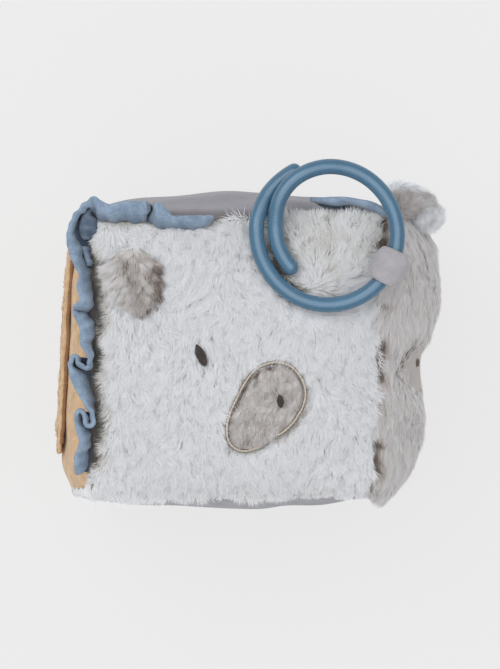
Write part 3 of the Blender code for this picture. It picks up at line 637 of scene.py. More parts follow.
def makePanel(side, spec):
    span = np.linspace(-1, 1, spec["cells"] + 1)
    span = np.sign(span) * (1 - (1 - np.abs(span)) ** 1.15)  # closer rows beside the seams
    u, v = np.meshgrid(span, span, indexing="ij")
    inward = inwardOf(side, u, v)
    # beside the front seam every cover is drawn in as far as the plush
    drawn = (side not in ("front", "back")) * (panels["front"]["sink"] - spec["sink"])
    sink = spec["sink"] + drawn * hump((1 - v) * halfDepth, 0, 0.0035)
    if side == "left":  # it swells out above its lower end
        sink = sink - 0.0020 * hump(u * halfHeight, -0.0446, 0.0070) * (1 - v**4)
    outer = blockSkin(*sideMaps[side][0](u, v)) + inward * (sink - clothRelief(side, u, v, spec))[..., None]
    inner = outer + inward * spec["cloth"]
    outer[..., 2], inner[..., 2] = np.maximum(outer[..., 2], 0), np.maximum(inner[..., 2], spec["cloth"] / 2)
    if sideMaps[side][1] < 0:
        outer, inner = outer[::-1], inner[::-1]
    addPiece(side + "_cover", shellMesh(outer, inner), spec["finish"],
             replaces=[side + "_panel"])


for side, spec in panels.items():
    makePanel(side, spec)

stuffing = {"cells": 24, "inset": 0.0062, "lump": 0.0007}


def makeStuffing(spec):
    span = np.linspace(-1, 1, spec["cells"] + 1)
    u, v = np.meshgrid(span, span, indexing="ij")
    lumps = spec["lump"] * ripple(u * 0.06, v * 0.06, 0.02, 40) * (1 - np.maximum(np.abs(u), np.abs(v)) ** 4)
    points, faces = [], []
    for side, (toCube, sign) in sideMaps.items():
        grid = blockSkin(*toCube(u, v)) + inwardOf(side, u, v) * (spec["inset"] + lumps)[..., None]
        faces.append(gridFaces(len(span), len(span), len(points) * u.size))
        points.append(grid[::sign].reshape(-1, 3))
    piece = addPiece("stuffing", meshFrom(np.concatenate(points), faces), "wadding",
                     replaces=["filling"])
    weld = piece.modifiers.new("weld", "WELD")
    weld.merge_threshold = 0.00002


makeStuffing(stuffing)
print("cover made")


# The front panel's plush

frontPile = {
    "strands": 150000, "length": 0.0072, "rise": 0.56, "strandWidth": 0.00019, "tuft": 0.0027,
    "spread": 1.3, "stray": 0.34, "gather": 0.24, "mottle": 0.10, "grain": 0.05,
    # the dip beside the frill, where the pile turns away and is painted dark as shade: its width in millimetres, from
    # the lower end up
    "dip": [
        (-56, 0), (-50, 0), (-45, 1.6), (-41, 2.8), (-35, 3.4), (-31, 4.4), (-27, 4.6), (-23, 4.2), (-18, 3.6),
        (-12, 2.8), (-6, 3.4), (0, 4.4), (4, 4.2), (7, 3.2), (10, 1.8), (13, 3), (17, 4.6), (22, 4.4),
        (28, 3.8), (34, 3.2), (40, 2.4), (45, 1.4), (50, 0.6), (58, 0),
    ],
    # how far the pile hangs over the lower seam, from left to right: place in millimetres, share
    "hem": [
        (-60, 0.9), (-35, 0.8), (-14, 0.7), (-9, 0.25), (-2, 0.15), (4, 0.6), (12, 0.72), (18, 0.6), (24, 0.05),
        (46, 0.05), (50, 0.3), (60, 0.2),
    ],
}


def makeFrontPile(spec):
    u, v = spotsOn("front", spec["strands"], 11)
    x, y = u * halfWidth, v * halfHeight
    outside, wayOut = shapePlace(x, y, muzzle)
    eyeOut, eyeWay = shapePlace(x, y, eye)
    # the frill keeps the pile off the left seam and the left half of the top seam
    fromLeft = (1 + u) * halfWidth
    fromTop = (1 - v) * halfHeight + 0.006 * easeIn(x, -0.012, 0.004)
    clear = (outside - 1) * reachOf(muzzle, wayOut)
    keep = (clear > 0.0010) & (eyeOut > 0.9) & (fromTop > 0.0018) & (u < 0.987)
    keep &= fromLeft > 0.0007 * easeIn(y, -0.054, -0.050)
    kept = (k[keep] for k in (u, v, x, y, clear, wayOut, eyeOut, eyeWay, fromLeft, fromTop))
    u, v, x, y, clear, wayOut, eyeOut, eyeWay, fromLeft, fromTop = kept
    # at the lower left corner the pile starts higher, to cover the seam
    corner = easeOut(fromLeft, 0.0008, 0.0045) * easeOut(y, -0.0545, -0.0515)
    ground = groundOn("front", u, v, -panels["front"]["sink"] * (1 - 0.85 * corner), pair(x, y))
    # the pile hangs down the face, and turns out at the seams, at the muzzle's cord and round the eye
    nearMuzzle, nearEye = hump(clear, 0.0010, 0.0019)[:, None], hump(eyeOut, 0.9, 0.5)[:, None]
    inRing = easeOut(np.hypot(x - ring["centre"][0], y - ring["centre"][1]), 0.018, 0.030)
    topRight = easeIn(x, -0.012, 0.004)
    dip = smoothLine(np.array(spec["dip"]) / 1000, 6)
    reach = np.interp(y, *dip.T)
    reach += 0.0007 * ripple(x, y, 0.0045, 26) * easeIn(-np.abs(y + 0.002), -0.050, -0.040)
    byFrill = easeOut(fromLeft - reach, -0.0012, 0.0066)
    wayX = 0.10 + 0.5 * ripple(x, y, 0.030, 21) + inRing * 0.35 * ripple(x, y, 0.014, 23)
    wayX += signedPower(u, 14) * np.where(u > 0, -0.15, -0.6) - 2.2 * byFrill
    wayX -= 1.2 * easeOut(fromLeft, 0.003, 0.010) * easeOut(y, -0.0560, -0.0525)
    wayY = -1 + 0.35 * ripple(x, y, 0.022, 22) + inRing * (1.9 + 0.3 * ripple(x, y, 0.014, 24))
    wayY += signedPower(v, 14) * np.where(v > 0, 1.4 * topRight, 1.0)
    way = pair(wayX, wayY) + nearMuzzle * 4.0 * wayOf(wayOut) + nearEye * 1.6 * wayOf(eyeWay)
    nearMuzzle, nearEye = nearMuzzle[:, 0], nearEye[:, 0]
    fromRod = fromLine(x, y, ringLine)
    pressed = easeOut(fromRod, ring["rod"] * 0.45, ring["rod"] * 0.95)
    # painted shade: between the spiral's two ends the pile is darkened, where the rods shade it
    ringGapShade = easeOut(fromLine(x, y + 0.003, ringLine[:62]), 0.0046, 0.0068)
    ringGapShade = ringGapShade * easeOut(fromLine(x, y + 0.003, ringLine[-78:]), 0.0046, 0.0068)
    underFrill = easeOut(fromTop, 0.002, 0.005)
    hem = np.array(spec["hem"])
    trimmed = (1 - np.interp(x * 1000, *hem.T)) * np.maximum(0, -v) ** 9
    rise = spec["rise"] * (1 + 0.16 * inRing) * (1 - 0.62 * pressed) * (1 - 0.25 * nearMuzzle)
    rise = rise * (1 - 0.3 * byFrill) * (1 + 0.25 * easeIn(v, 0.90, 1.0)) * (1 + 0.45 * trimmed)
    length = spec["length"] * (1 - 0.40 * nearMuzzle) * (1 - 0.45 * nearEye) * (1 - 0.4 * underFrill)
    length = length * (1 - 0.5 * byFrill * easeIn(y, -0.0560, -0.0525)) * (1 - 0.62 * trimmed)
    length = length * np.where(v < 0, 1 - 0.05 * np.abs(v) ** 16, 1 + 0.25 * inRing * np.abs(v) ** 8)
    length = length * (1 - 0.38 * np.maximum(0, u) ** 26) * (1 - 0.22 * easeIn(v, 0.92, 1.0))
    # tone varies at random; painted shade darkens it where the pile parts, in the ring's shade, beside the cord,
    # beside the frill, round the ring's rod and under the top frill
    partingShade = easeIn(ripple(x, y, 0.0042, 27), 0.7, 1.9) * (0.12 + 0.34 * inRing + 0.36 * easeIn(v, 0.35, 0.9))
    byCordShade = (0.34 + 0.12 * easeIn(np.cos(wayOut), 0.3, 0.9)) * easeIn(ripple(x, y, 0.006, 28), -0.3, 0.8)
    tone = 0.77 + 0.06 * ripple(x, y, 0.016, 25) - 0.24 * inRing - (0.10 + byCordShade) * nearMuzzle - 0.62 * partingShade
    # painted shade at the right seam under the ring; darker towards the lower edge
    tone -= 0.55 * easeIn(u, 0.95, 0.995) * easeIn(y, 0.039, 0.045) + 0.14 * easeIn(-v, 0.80, 1.0)
    tone -= 0.90 * byFrill**0.8 * easeIn(reach, 0.0002, 0.0022) + 0.20 * easeOut(fromRod, 0.0026, 0.0042)
    tone -= ringGapShade + 0.3 * underFrill * (1 - byFrill)
    makePile("front_pile", ground, np.arctan2(way[:, 1], way[:, 0]), length, rise, tone, spec,
             "plushPile", 3, parts=4)


makeFrontPile(frontPile)


# The front's plush wraps round the block's lower left corner

cornerPile = {
    "strands": 16000, "length": 0.0024, "rise": 0.26, "strandWidth": 0.00024, "tuft": 0.0030,
    "spread": 0.3, "stray": 0.30, "gather": 0.0, "mottle": 0.04, "upward": 1.0,
}


def makeCornerPile(spec):
    draw = np.random.default_rng(15)
    u, v = draw.uniform(-0.99, -0.90, spec["strands"]), draw.uniform(-0.25, 1.0, spec["strands"])
    y, z = u * halfHeight, v * halfDepth + middleZ
    keep = y < -0.0548 + 0.0036 * easeIn(v, 0.80, 1) + 0.0004 * ripple(z, 0 * z, 0.007, 36)
    u, v, y, z = (k[keep] for k in (u, v, y, z))
    makePile("corner_pile", groundOn("left", u, v, 0.0003, pair(y, z)), math.pi - 0.5 - 0.9 * easeIn(v, 0.86, 0.98),
             spec["length"] * (1 - 0.7 * easeIn(-u, 0.945, 0.985)), spec["rise"],
             0.74 + 0.05 * ripple(y, z, 0.008, 37), spec, "plushPile", 16)


makeCornerPile(cornerPile)


# The right side's plush, with the smooth sewn-on shape

patch = {"centre": (-0.0035, 0.0779), "width": 0.023, "length": 0.052, "tilt": 6, "thickness": 0.0018, "taper": 0.55}
rightPile = {
    "strands": 112000, "length": 0.0080, "rise": 0.36, "strandWidth": 0.00020, "tuft": 0.0024,
    "spread": 0.5, "stray": 0.20, "gather": 0.22, "mottle": 0.08, "grain": 0.05, "upward": 0.9,
    # stretches of the front seam where the pile parts and is painted dark as the seam's shade: from, to, how much
    "gaps": [(-0.0556, -0.0515, 0.7), (-0.0494, -0.0306, 0.8), (-0.0202, -0.0160, 0.8), (-0.0081, 0.0110, 1.0),
             (0.0215, 0.0256, 0.9), (0.0345, 0.0600, 1.0)],
}


def makeRightPile(spec):
    u, v = spotsOn("right", spec["strands"], 12)
    y, z = u * halfHeight, v * halfDepth + middleZ
    outside, wayOut = shapePlace(y, z, patch)
    u, v, y, z, outside, wayOut = (k[outside > 0.66] for k in (u, v, y, z, outside, wayOut))
    # along is up the face, across towards the front panel
    nearPatch = hump(outside, 1.01, 0.12)
    way = pair(-1 + 0.3 * ripple(y, z, 0.03, 31), 0.30 + 0.45 * ripple(y, z, 0.022, 32))
    way += (nearPatch * 0.35)[:, None] * wayOf(wayOut)
    # painted shade: the pile is darkened along these stretches of the seam
    gaps = sum(share * easeIn(y, low - 0.0022, low + 0.0022) * easeOut(y, high - 0.0022, high + 0.0022)
               for low, high, share in spec["gaps"])
    gaps = gaps * hump((1 - v) * halfDepth, 0, 0.0052 + 0.0016 * ripple(y, 0 * y, 0.007, 34))
    length = spec["length"] * (1 - 0.25 * nearPatch) * (1 - 0.35 * np.maximum(0, -u) ** 14) * (1 - 0.45 * gaps)
    # paler towards the back; paler towards the top, partly the plush's own colour and partly painted light where the
    # tuft's shadow falls
    tone = 0.60 + 0.07 * ripple(y, z, 0.014, 33) + 0.10 * easeIn(-v, -0.1, 0.6) + 0.10 * easeIn(u, 0.5, 0.95)
    makePile("right_pile", groundOn("right", u, v, -panels["right"]["sink"], pair(y, z)),
             np.arctan2(way[:, 1], way[:, 0]), length, spec["rise"], tone - 0.80 * gaps, spec,
             "taupePile", 4, parts=3)


makeRightPile(rightPile)


# Low pads that follow a side: patches, stitching

def padPoint(side, p, q, lift):
    wide, high = sizesOf(side)
    spot, normal, _, _ = onSide(side, p / wide, (q - (middleZ if side in ("left", "right") else 0)) / high)
    return spot + normal * np.asarray(lift)[..., None]


def makePad(name, side, spec, lift, finish, replaces, ridges=0, segments=72, rings=14):
    turn = np.linspace(0, 2 * math.pi, segments, endpoint=False)
    reach = np.sin(np.linspace(0, math.pi / 2, rings + 1))[1:]
    (middleP, middleQ), thick = spec["centre"], spec["thickness"]
    rows = []
    for sideUp, shares in ((1, reach), (-1, reach[::-1])):
        for share in shares:
            p, q = outlineOf(spec, turn, share)
            height = (1 + math.sqrt(max(0, 1 - share**2.6)) * sideUp) / 2 * thick + 0 * p
            if ridges and sideUp > 0:
                height += thick * 0.10 * np.cos(q / spec["length"] * ridges * 2 * math.pi)
            rows.append(padPoint(side, middleP + p, middleQ + q, lift + height))
    rows.append(padPoint(side, *np.array([spec["centre"]] * 2).T, lift + np.array([thick, 0.0])))
    mesh = meshFrom(np.concatenate(rows), cappedFaces(2 * rings, segments))
    addPiece(name, mesh, finish, replaces=[replaces])


def patchGround(side, spec, lift, seed, spare=1.0):
    draw = np.random.default_rng(seed)
    turn = draw.uniform(0, 2 * math.pi, spec["strands"])
    share = np.sqrt(draw.uniform(0, 1, spec["strands"])) * spare
    outP, outQ = outlineOf(spec, turn, share)
    p, q = spec["centre"][0] + outP, spec["centre"][1] + outQ
    wide, high = sizesOf(side)
    height = lift + spec["thickness"] * (1 + np.sqrt(np.maximum(0, 1 - share**2.6))) / 2 * 0.92
    return groundOn(side, p / wide, q / high, height, pair(p, q)), share, outP, outQ


def makeEar(spec):
    makePad("ear_backing", "front", dict(spec, grow=-0.0018), -0.0012, "faceBacking", "ear_patch")
    ground, share, p, q = patchGround("front", dict(spec, grow=-0.0010, centre=(-0.0416, 0.0326)), -0.0010, 51)
    # the hair fans out from the ear's upper middle
    way = np.arctan2(q - 0.014, p * 0.9 + 0.0004) + 0.35 * ripple(p, q, 0.012, 52)
    # darkest down its right edge, a painted shade, and at its tip, with white hairs brushed in from the upper left
    dark = easeIn(p, 0.003, 0.010) + 0.7 * easeIn(-q, 0.008, 0.014) * easeIn(p, -0.004, 0.002)
    pale = easeIn(-p, 0.001, 0.009) + 0.6 * easeIn(q, 0.007, 0.014)
    streak = hump(p + 0.3 * (q - 0.008), -0.004, 0.0012) * easeIn(q, -0.001, 0.004)
    tone = 0.50 - 0.42 * dark + 0.42 * pale - 0.40 * streak + 0.07 * ripple(p, q, 0.006, 53)
    makePile("ear_pile", ground, way, spec["pile"], 0.45, tone, spec, "facePile", 6)


def makeMuzzle(spec):
    low = dict(spec, grow=-0.0006)
    makePad("muzzle_backing", "front", low, -0.0022, "faceBacking", "muzzle")
    ground, share, p, q = patchGround("front", low, -0.0022, 61, 0.97)
    # painted shade: brown beside the cord at the upper left; the pile is shorter round the nostril
    cordShadow = easeIn(share, 0.86, 0.97) * easeIn(-p * 0.8 + q * 0.6, 0.002, 0.009)
    tone = 0.55 + 0.05 * ripple(p, q, 0.007, 63) - 0.40 * cordShadow
    tone += 0.11 * ripple((q + 0.34 * p) * 0.25, p - 0.34 * q, 0.0024, 64)
    near = np.linalg.norm(ground[4] - nostril["centre"], axis=1)
    length = spec["pile"] * (1 - 0.4 * easeIn(share, 0.8, 1.0)) * (1 - 0.5 * easeOut(near, 0.002, 0.006))
    makePile("muzzle_pile", ground, -1.9 + 0.3 * ripple(p, q, 0.012, 62), length, 0.36, tone, spec,
             "facePile", 7)


makeEar(ear)
makeMuzzle(muzzle)
makePad("eye_stitching", "front", eye, 0.0006, "thread", "eye", ridges=13, segments=48)
makePad("nostril_stitching", "front", nostril, 0.0024, "thread", "nostril", ridges=9, segments=48)
makePad("side_shape", "right", patch, -0.0006, "shape", "side_patch", segments=96, rings=18)

# painted shade: short brown pile over the shape's front edge, thickest along its upper half, stands for the shade
# along that edge
patchShadePile = {
    # from, to in degrees, strands, how far in and out
    "upper": (18, 92, 3200, 0.93, 1.01), "lower": (92, 165, 900, 0.975, 1.005), "length": 0.0019, "rise": 0.14,
    "strandWidth": 0.00018, "tuft": 0.0008, "spread": 0.5, "stray": 0.3, "gather": 0.0, "mottle": 0.08, "grain": 0.05,
}


def makePatchShadePile(spec):
    draw = np.random.default_rng(17)
    stretches = (spec["upper"], spec["lower"])
    turn = np.radians(np.concatenate([draw.uniform(low, high, count) for low, high, count, _, _ in stretches]))
    share = np.where(turn < 1.6, *(draw.uniform(low, high, len(turn)) for *_, low, high in stretches))
    y, z = outlineOf(patch, turn, share) + np.array(patch["centre"])[:, None]
    _, normal, along, across = onSide("right", y / halfHeight, (z - middleZ) / halfDepth)
    root = padPoint("right", y, z, 0.0002 + 0.0008 * (1 - share) / 0.14)
    makePile("side_shape_shade_pile", (root, normal, along, across, pair(y, z)),
             math.pi - 0.3 + 0.2 * ripple(y, z, 0.004, 40), spec["length"], spec["rise"],
             0.24 + 0.10 * ripple(y, z, 0.004, 38), spec, "taupePile", 18)


makePatchShadePile(patchShadePile)
dimple = {"centre": (-0.0026, 0.0829), "width": 0.0036, "length": 0.0036, "tilt": 0, "taper": 0, "thickness": 0.0014}
makePad("side_stitching", "right", dimple, 0.0008, "cordDark", "side_dimple", ridges=8, segments=40)

muzzleCord = {"out": 0.0003, "ply": 0.00032, "twist": 0.0032, "lift": 0.0016, "dark": 0.00022, "steps": 420}


def makeMuzzleCord(spec):
    turn = np.linspace(-math.pi, math.pi, spec["steps"], endpoint=False)
    p, q = outlineOf(dict(muzzle, grow=spec["out"]), turn) + np.array(muzzle["centre"])[:, None]
    # at its lowest stretch the cord sinks into the pile
    line = padPoint("front", p, q, spec["lift"] - 0.0016 * hump(turn, math.radians(-88), math.radians(17)))
    normal = onSide("front", p / halfWidth, q / halfHeight)[1]
    side = unit(np.cross(unit(np.roll(line, -1, 0) - np.roll(line, 1, 0)), normal))
    run = runOf(np.concatenate([line, line[:1]]))
    phase = run[:-1] / run[-1] * round(run[-1] / spec["twist"]) * 2 * math.pi
    for number, replaces in ((0, ["muzzle_cord"]), (1, ())):
        angle = (phase + number * math.pi)[:, None]
        ply = line + (side * np.cos(angle) + normal * np.sin(angle)) * spec["ply"] * 0.6
        addPiece(f"muzzle_cord_ply_{number + 1}", meshFrom(*tube(ply, spec["ply"], 7, True)), "cord",
                 replaces=replaces)
    for name, shift in (("muzzle_cord_shadow_in", -1.7), ("muzzle_cord_shadow_out", 1.7)):  # painted shadow: dark tubes beside the cord
        cordShadow = line + side * (spec["ply"] * shift) - normal * 0.0004
        addPiece(name, meshFrom(*tube(cordShadow, spec["dark"], 6, True)), "cordDark")


makeMuzzleCord(muzzleCord)
print("face made")


# The gauze frills

# each strip, in tenths of a millimetre: the free edge and the foot of what shows (across, up), and the
# edge's height
frill = {"strips": [
    [
        (-658, -488, -631, -479, 60), (-662, -456, -621, -452, 75), (-662, -419, -619, -415, 80),
        (-655, -390, -615, -381, 80), (-645, -362, -608, -358, 80), (-647, -338, -611, -335, 80),
        (-655, -308, -617, -310, 80), (-659, -281, -631, -294, 85), (-660, -258, -646, -269, 90),
        (-655, -238, -649, -246, 90), (-645, -228, -642, -233, 90), (-632, -238, -632, -240, 88),
        (-623, -257, -623, -258, 85), (-615, -275, -615, -274, 85), (-605, -280, -606, -277, 88),
        (-595, -269, -599, -267, 90), (-594, -244, -597, -244, 90), (-601, -220, -594, -221, 90),
        (-618, -200, -594, -198, 85), (-633, -179, -596, -177, 80), (-649, -152, -607, -152, 80),
        (-661, -131, -614, -127, 78), (-673, -106, -619, -102, 75), (-681, -81, -629, -81, 75),
        (-685, -57, -648, -62, 80), (-686, -33, -673, -42, 90), (-680, -12, -676, -19, 92),
        (-668, -2, -667, -7, 92), (-655, -12, -655, -15, 90), (-645, -30, -645, -31, 87),
        (-634, -45, -634, -44, 85), (-620, -47, -620, -45, 87), (-606, -37, -609, -35, 90),
        (-601, -15, -604, -14, 92), (-605, 10, -601, 10, 90), (-622, 31, -601, 27, 85),
        (-636, 52, -605, 50, 82), (-640, 77, -596, 75, 80), (-640, 102, -588, 102, 78),
        (-644, 127, -594, 131, 80), (-652, 148, -604, 152, 80), (-663, 170, -619, 174, 80),
        (-670, 190, -640, 181, 72), (-668, 197, -631, 185, 32), (-670, 207, -612, 193, 82),
        (-655, 220, -604, 212, 86), (-642, 242, -604, 240, 84), (-649, 269, -606, 271, 80),
        (-653, 294, -608, 296, 80), (-647, 315, -612, 319, 80), (-640, 335, -612, 340, 80),
        (-648, 358, -613, 362, 80), (-663, 380, -623, 383, 78), (-677, 406, -638, 410, 76),
        (-687, 438, -648, 442, 76), (-694, 471, -660, 471, 80), (-694, 503, -673, 500, 85),
        (-687, 533, -675, 529, 90), (-676, 563, -668, 558, 90), (-662, 591, -656, 585, 90),
        (-645, 615, -640, 606, 90), (-625, 633, -622, 623, 92), (-604, 648, -602, 627, 92),
        (-583, 657, -585, 594, 80), (-562, 642, -569, 571, 76), (-540, 631, -540, 568, 78),
        (-515, 625, -510, 565, 80), (-491, 631, -481, 570, 80), (-467, 638, -454, 573, 78),
        (-435, 638, -431, 562, 72), (-402, 639, -398, 560, 72), (-373, 639, -375, 567, 72),
        (-368, 636, -383, 569, 66), (-363, 631, -379, 569, 9), (-354, 625, -370, 568, 2),
        (-340, 623, -358, 567, 2), (-331, 627, -349, 564, 9), (-325, 633, -343, 561, 66),
        (-303, 624, -327, 540, 72), (-287, 603, -300, 534, 72), (-267, 580, -271, 533, 78),
        (-231, 578, -227, 534, 80), (-190, 579, -185, 537, 80), (-148, 580, -144, 544, 80),
        (-115, 580, -112, 553, 76), (-93, 577, -95, 566, 65),
    ],
    [
        (-604, 616, -597, 609, 34), (-618, 602, -594, 594, 36), (-630, 586, -589, 580, 33),
        (-638, 566, -584, 564, 34), (-642, 548, -582, 548, 30), (-643, 530, -584, 532, 32),
        (-640, 512, -590, 514, 29), (-633, 496, -600, 499, 28), (-624, 488, -610, 491, 26),
    ],
    [
        (-635, 458, -609, 458, 42), (-627, 435, -607, 435, 42), (-619, 406, -605, 406, 40),
        (-611, 377, -604, 377, 36),
    ],
],
    "thick": 0.0019, "foot": 0.1146, "steps": 5, "pleat": 0.00046, "cut": (0.0106, 0.30),
    "crease": (-0.0350, 0.0017), "tail": 0,
}
topFrill = {"strips": [
    [
        (312, 653, 315, 651, 56), (327, 654, 331, 648, 64), (356, 654, 356, 643, 72), (394, 657, 394, 634, 79),
        (435, 658, 435, 631, 85), (477, 655, 477, 634, 85), (519, 648, 519, 625, 85), (552, 642, 552, 613, 85),
        (581, 631, 579, 606, 80), (602, 617, 598, 598, 78), (627, 596, 619, 583, 70),
    ],
],
    "thick": 0.0017, "foot": 0.1146, "steps": 7, "pleat": 0.0002, "cut": (0.0106, 0.048),
    "crease": (0, 0), "tail": 0.013,
}


def makeFrill(name, spec, replaces, seed):
    points, faces = [], []
    way = np.linspace(0, 1, 14)[None, :]
    low, high = np.linspace(0, 1, 4)[None, :-1, None], np.linspace(0, 1, 11)[None, :, None]
    half, lip = spec["thick"] / 2, 0.0014
    for number, strip in enumerate(spec["strips"]):
        run = smoothLine(np.array(strip) / 10000, spec["steps"])
        edge, foot, rise = run[:, :2], run[:, 2:4], run[:, 4]
        distance = runOf(edge)
        # the strip is sewn in at the seam; a tail at its start stays on its foot
        base = pair(np.maximum(foot[:, 0], -halfWidth - 0.0004), np.minimum(foot[:, 1], halfHeight + 0.0004))
        if spec["tail"]:
            base += (foot - base) * easeOut(distance, 0, spec["tail"])[:, None]
        # from the seam out to the foot, then up and over to the free edge
        lowPart = np.concatenate([base[:, None] + (foot - base)[:, None] * low,
                                  spec["foot"] + lip * low + 0 * base[:, None, :1]], -1)
        climb = (rise - lip)[:, None, None] * (1 - (1 - high) ** 1.6)
        over = foot[:, None] + (edge - foot)[:, None] * high**1.5
        highPart = np.concatenate([over, spec["foot"] + lip + climb], -1)
        # the crease in the top stretch runs in a zigzag
        bent = hump(edge[:, 0], spec["crease"][0], 0.0022) * (edge[:, 1] > halfHeight)
        highPart[..., 0] += spec["crease"][1] * bent[:, None] * np.sin(2 * math.pi * (1 - high[..., 0]))
        middle = np.concatenate([lowPart, highPart], 1)
        up = unit(np.gradient(middle, axis=1))
        normal = unit(np.cross(unit(np.gradient(middle, axis=0)), up))
        pleats = ripple(distance[:, None] + 0.001 * way, 0.3 * way * 0.01, 0.0046, seed + number, 7)
        pleats += 0.8 * ripple(distance[:, None] - 0.003 * way, way * 0.01, 0.011, seed + 9, 5)
        middle = middle + normal * (spec["pleat"] * pleats * np.minimum(1, way * 3))[..., None]
        thick = normal * half * (0.55 + 0.45 * np.minimum(1, way * 1.4))[..., None]
        turn = np.linspace(0, math.pi, 8)[1:-1][None, :, None]
        cap = middle[:, -1:] + (up[:, -1:] * np.sin(turn) + normal[:, -1:] * np.cos(turn)) * half
        grid = np.concatenate([middle + thick, cap, (middle - thick)[:, ::-1]], 1)
        faces += cappedFaces(*grid.shape[:2], sum(len(p) for p in points))
        points += [grid.reshape(-1, 3), [grid[0].mean(0), grid[-1].mean(0)]]
    mesh = meshFrom(np.concatenate(points), [f[:, ::-1] for f in faces])
    piece = addPiece(name, mesh, "blue", replaces=replaces)


makeFrill("side_frill_gauze", frill, ["side_frill"], 71)
makeFrill("top_frill_gauze", topFrill, ["top_frill"], 75)
print("frills made")


# The flap on the left side, its band and their stitches

flap = {"length": 0.088, "width": 0.046, "thick": 0.0017, "top": 0.0475, "round": 0.18, "cells": (84, 56),
        "lift": 0.0004, "hem": 9, "stitch": (0.0022, 0.0012, 0.00022), "overlock": 0.0008}
flapBand = {"length": 0.0034, "width": 0.046, "gap": 0.0008, "thick": 0.0017, "round": 0, "cells": (8, 56),
            "lift": 0.0002, "stitch": (0.0022, 0.0010, 0.00024)}


def sideSheet(low, spec, relief):
    # the outer and inner face of a cloth on the left side, from its lower end up
    length, width, thick, roundShare = (spec[key] for key in ("length", "width", "thick", "round"))
    spans = (np.linspace(start, 1, cells + 1) for start, cells in zip((0, -1), spec["cells"]))
    s, w = np.meshgrid(*spans, indexing="ij")
    nearEnd = np.maximum(0, 1 - s / roundShare) if roundShare else 0 * s
    p, q = low + length * s, middleZ + width / 2 * w * np.sqrt(1 - nearEnd**2 * roundShare * 1.4)
    rim = np.minimum(np.minimum(s, 1 - s) * length, (1 - np.abs(w)) * width / 2)
    half = thick * (0.45 + 0.55 * np.sqrt(np.clip(rim / 0.0016, 0, 1))) / 2
    middle = spec["lift"] + relief(s, w, p, q) + thick / 2
    return padPoint("left", p, q, middle + half), padPoint("left", p, q, middle - half)


def flapRelief(s, w, p, q):
    edge = hump((1 - np.abs(w)) * flap["width"] / 2, 0, 0.004) + hump(s * flap["length"], 0, 0.004)
    crinkle = 0.00035 * ripple(p, q, 0.011, 81) + 0.0002 * ripple(p * 2.2, q, 0.006, 82)
    return crinkle * (1 - 0.5 * edge) + 0.0007 * (1 - s) * ripple(w, 0.0, 1.3, 83) ** 2 + 0.0016 * (1 - s) ** 5


def bandRelief(s, w, p, q):
    return 0.0001 * ripple(p, q, 0.006, 84)


def makeStitches(name, line, stitch, body):
    # a run of small raised stitches along a line: their length, gap and radius
    length, gap, radius = stitch
    points, faces = [], []
    distance = runOf(line)
    start = gap
    while start + length < distance[-1]:
        at = np.linspace(start, start + length, 5)
        run = np.stack([np.interp(at, distance, line[:, k]) for k in range(3)], -1)
        spots, sets = tube(run, radius * np.array([0.5, 0.95, 1.0, 0.95, 0.5]), 6)
        faces += [f + len(points) * len(spots) for f in sets]
        points.append(spots)
        start += length + gap
    return addPiece(name, meshFrom(np.concatenate(points), faces), "sewing", body)


def makeFlap():
    outer, inner = sideSheet(flap["top"] - flap["length"], flap, flapRelief)
    piece = addPiece("flap_gauze", shellMesh(outer[::-1], inner[::-1]), "ochre",
                     body="flap", replaces=["flap"])
    inset = flap["hem"]
    hem = np.concatenate([outer[::-1, inset], outer[inset, inset:-inset], outer[:, -inset - 1]])
    stitches = makeStitches("flap_stitches", hem, flap["stitch"], "flap")
    # a brown tube along the flap's inner edge paints the shade in the gap beside it
    edgeLine = inner[4:-2, -1] + [0.0005, 0, 0.0001]
    overlock = addPiece("flap_edge_shadow", meshFrom(*tube(edgeLine, flap["overlock"], 8)), "overlock",
                        body="flap")
    outer, inner = sideSheet(flap["top"] + flapBand["gap"], flapBand, bandRelief)
    addPiece("flap_band_gauze", shellMesh(outer[::-1], inner[::-1]), "ochre",
             replaces=["flap_band"])
    makeStitches("band_stitches", outer[4], flapBand["stitch"], "block")


makeFlap()


# The tuft at the top right corner: its lobes' middles and half sizes in tenths of a millimetre, how they
# lean in degrees, how pale they are, how much painted shade darkens them underneath, and their pile

tuft = {
    "lobes": [
        ((706, 672, 860), (56, 14, 95), -4, 0.96, 0.22, "plushPile"),
        ((764, 600, 830), (46, 24, 100), -14, 1.05, 0.0, "plushPile"),
        ((798, 576, 815), (30, 16, 80), 24, 1.05, 0.0, "plushPile"),
        ((766, 636, 850), (26, 6, 60), 2, 0.72, 0.10, "facePile"),
        ((700, 632, 930), (46, 20, 80), 12, 0.64, 0.10, "facePile"),
    ],
    "strands": 13000, "pile": 0.0062, "rise": 0.55, "strandWidth": 0.00022, "tuft": 0.0024, "gather": 0.6,
    "upward": 1.7, "spread": 2.2, "stray": 0.4, "mottle": 0.14, "cells": (18, 32),
}


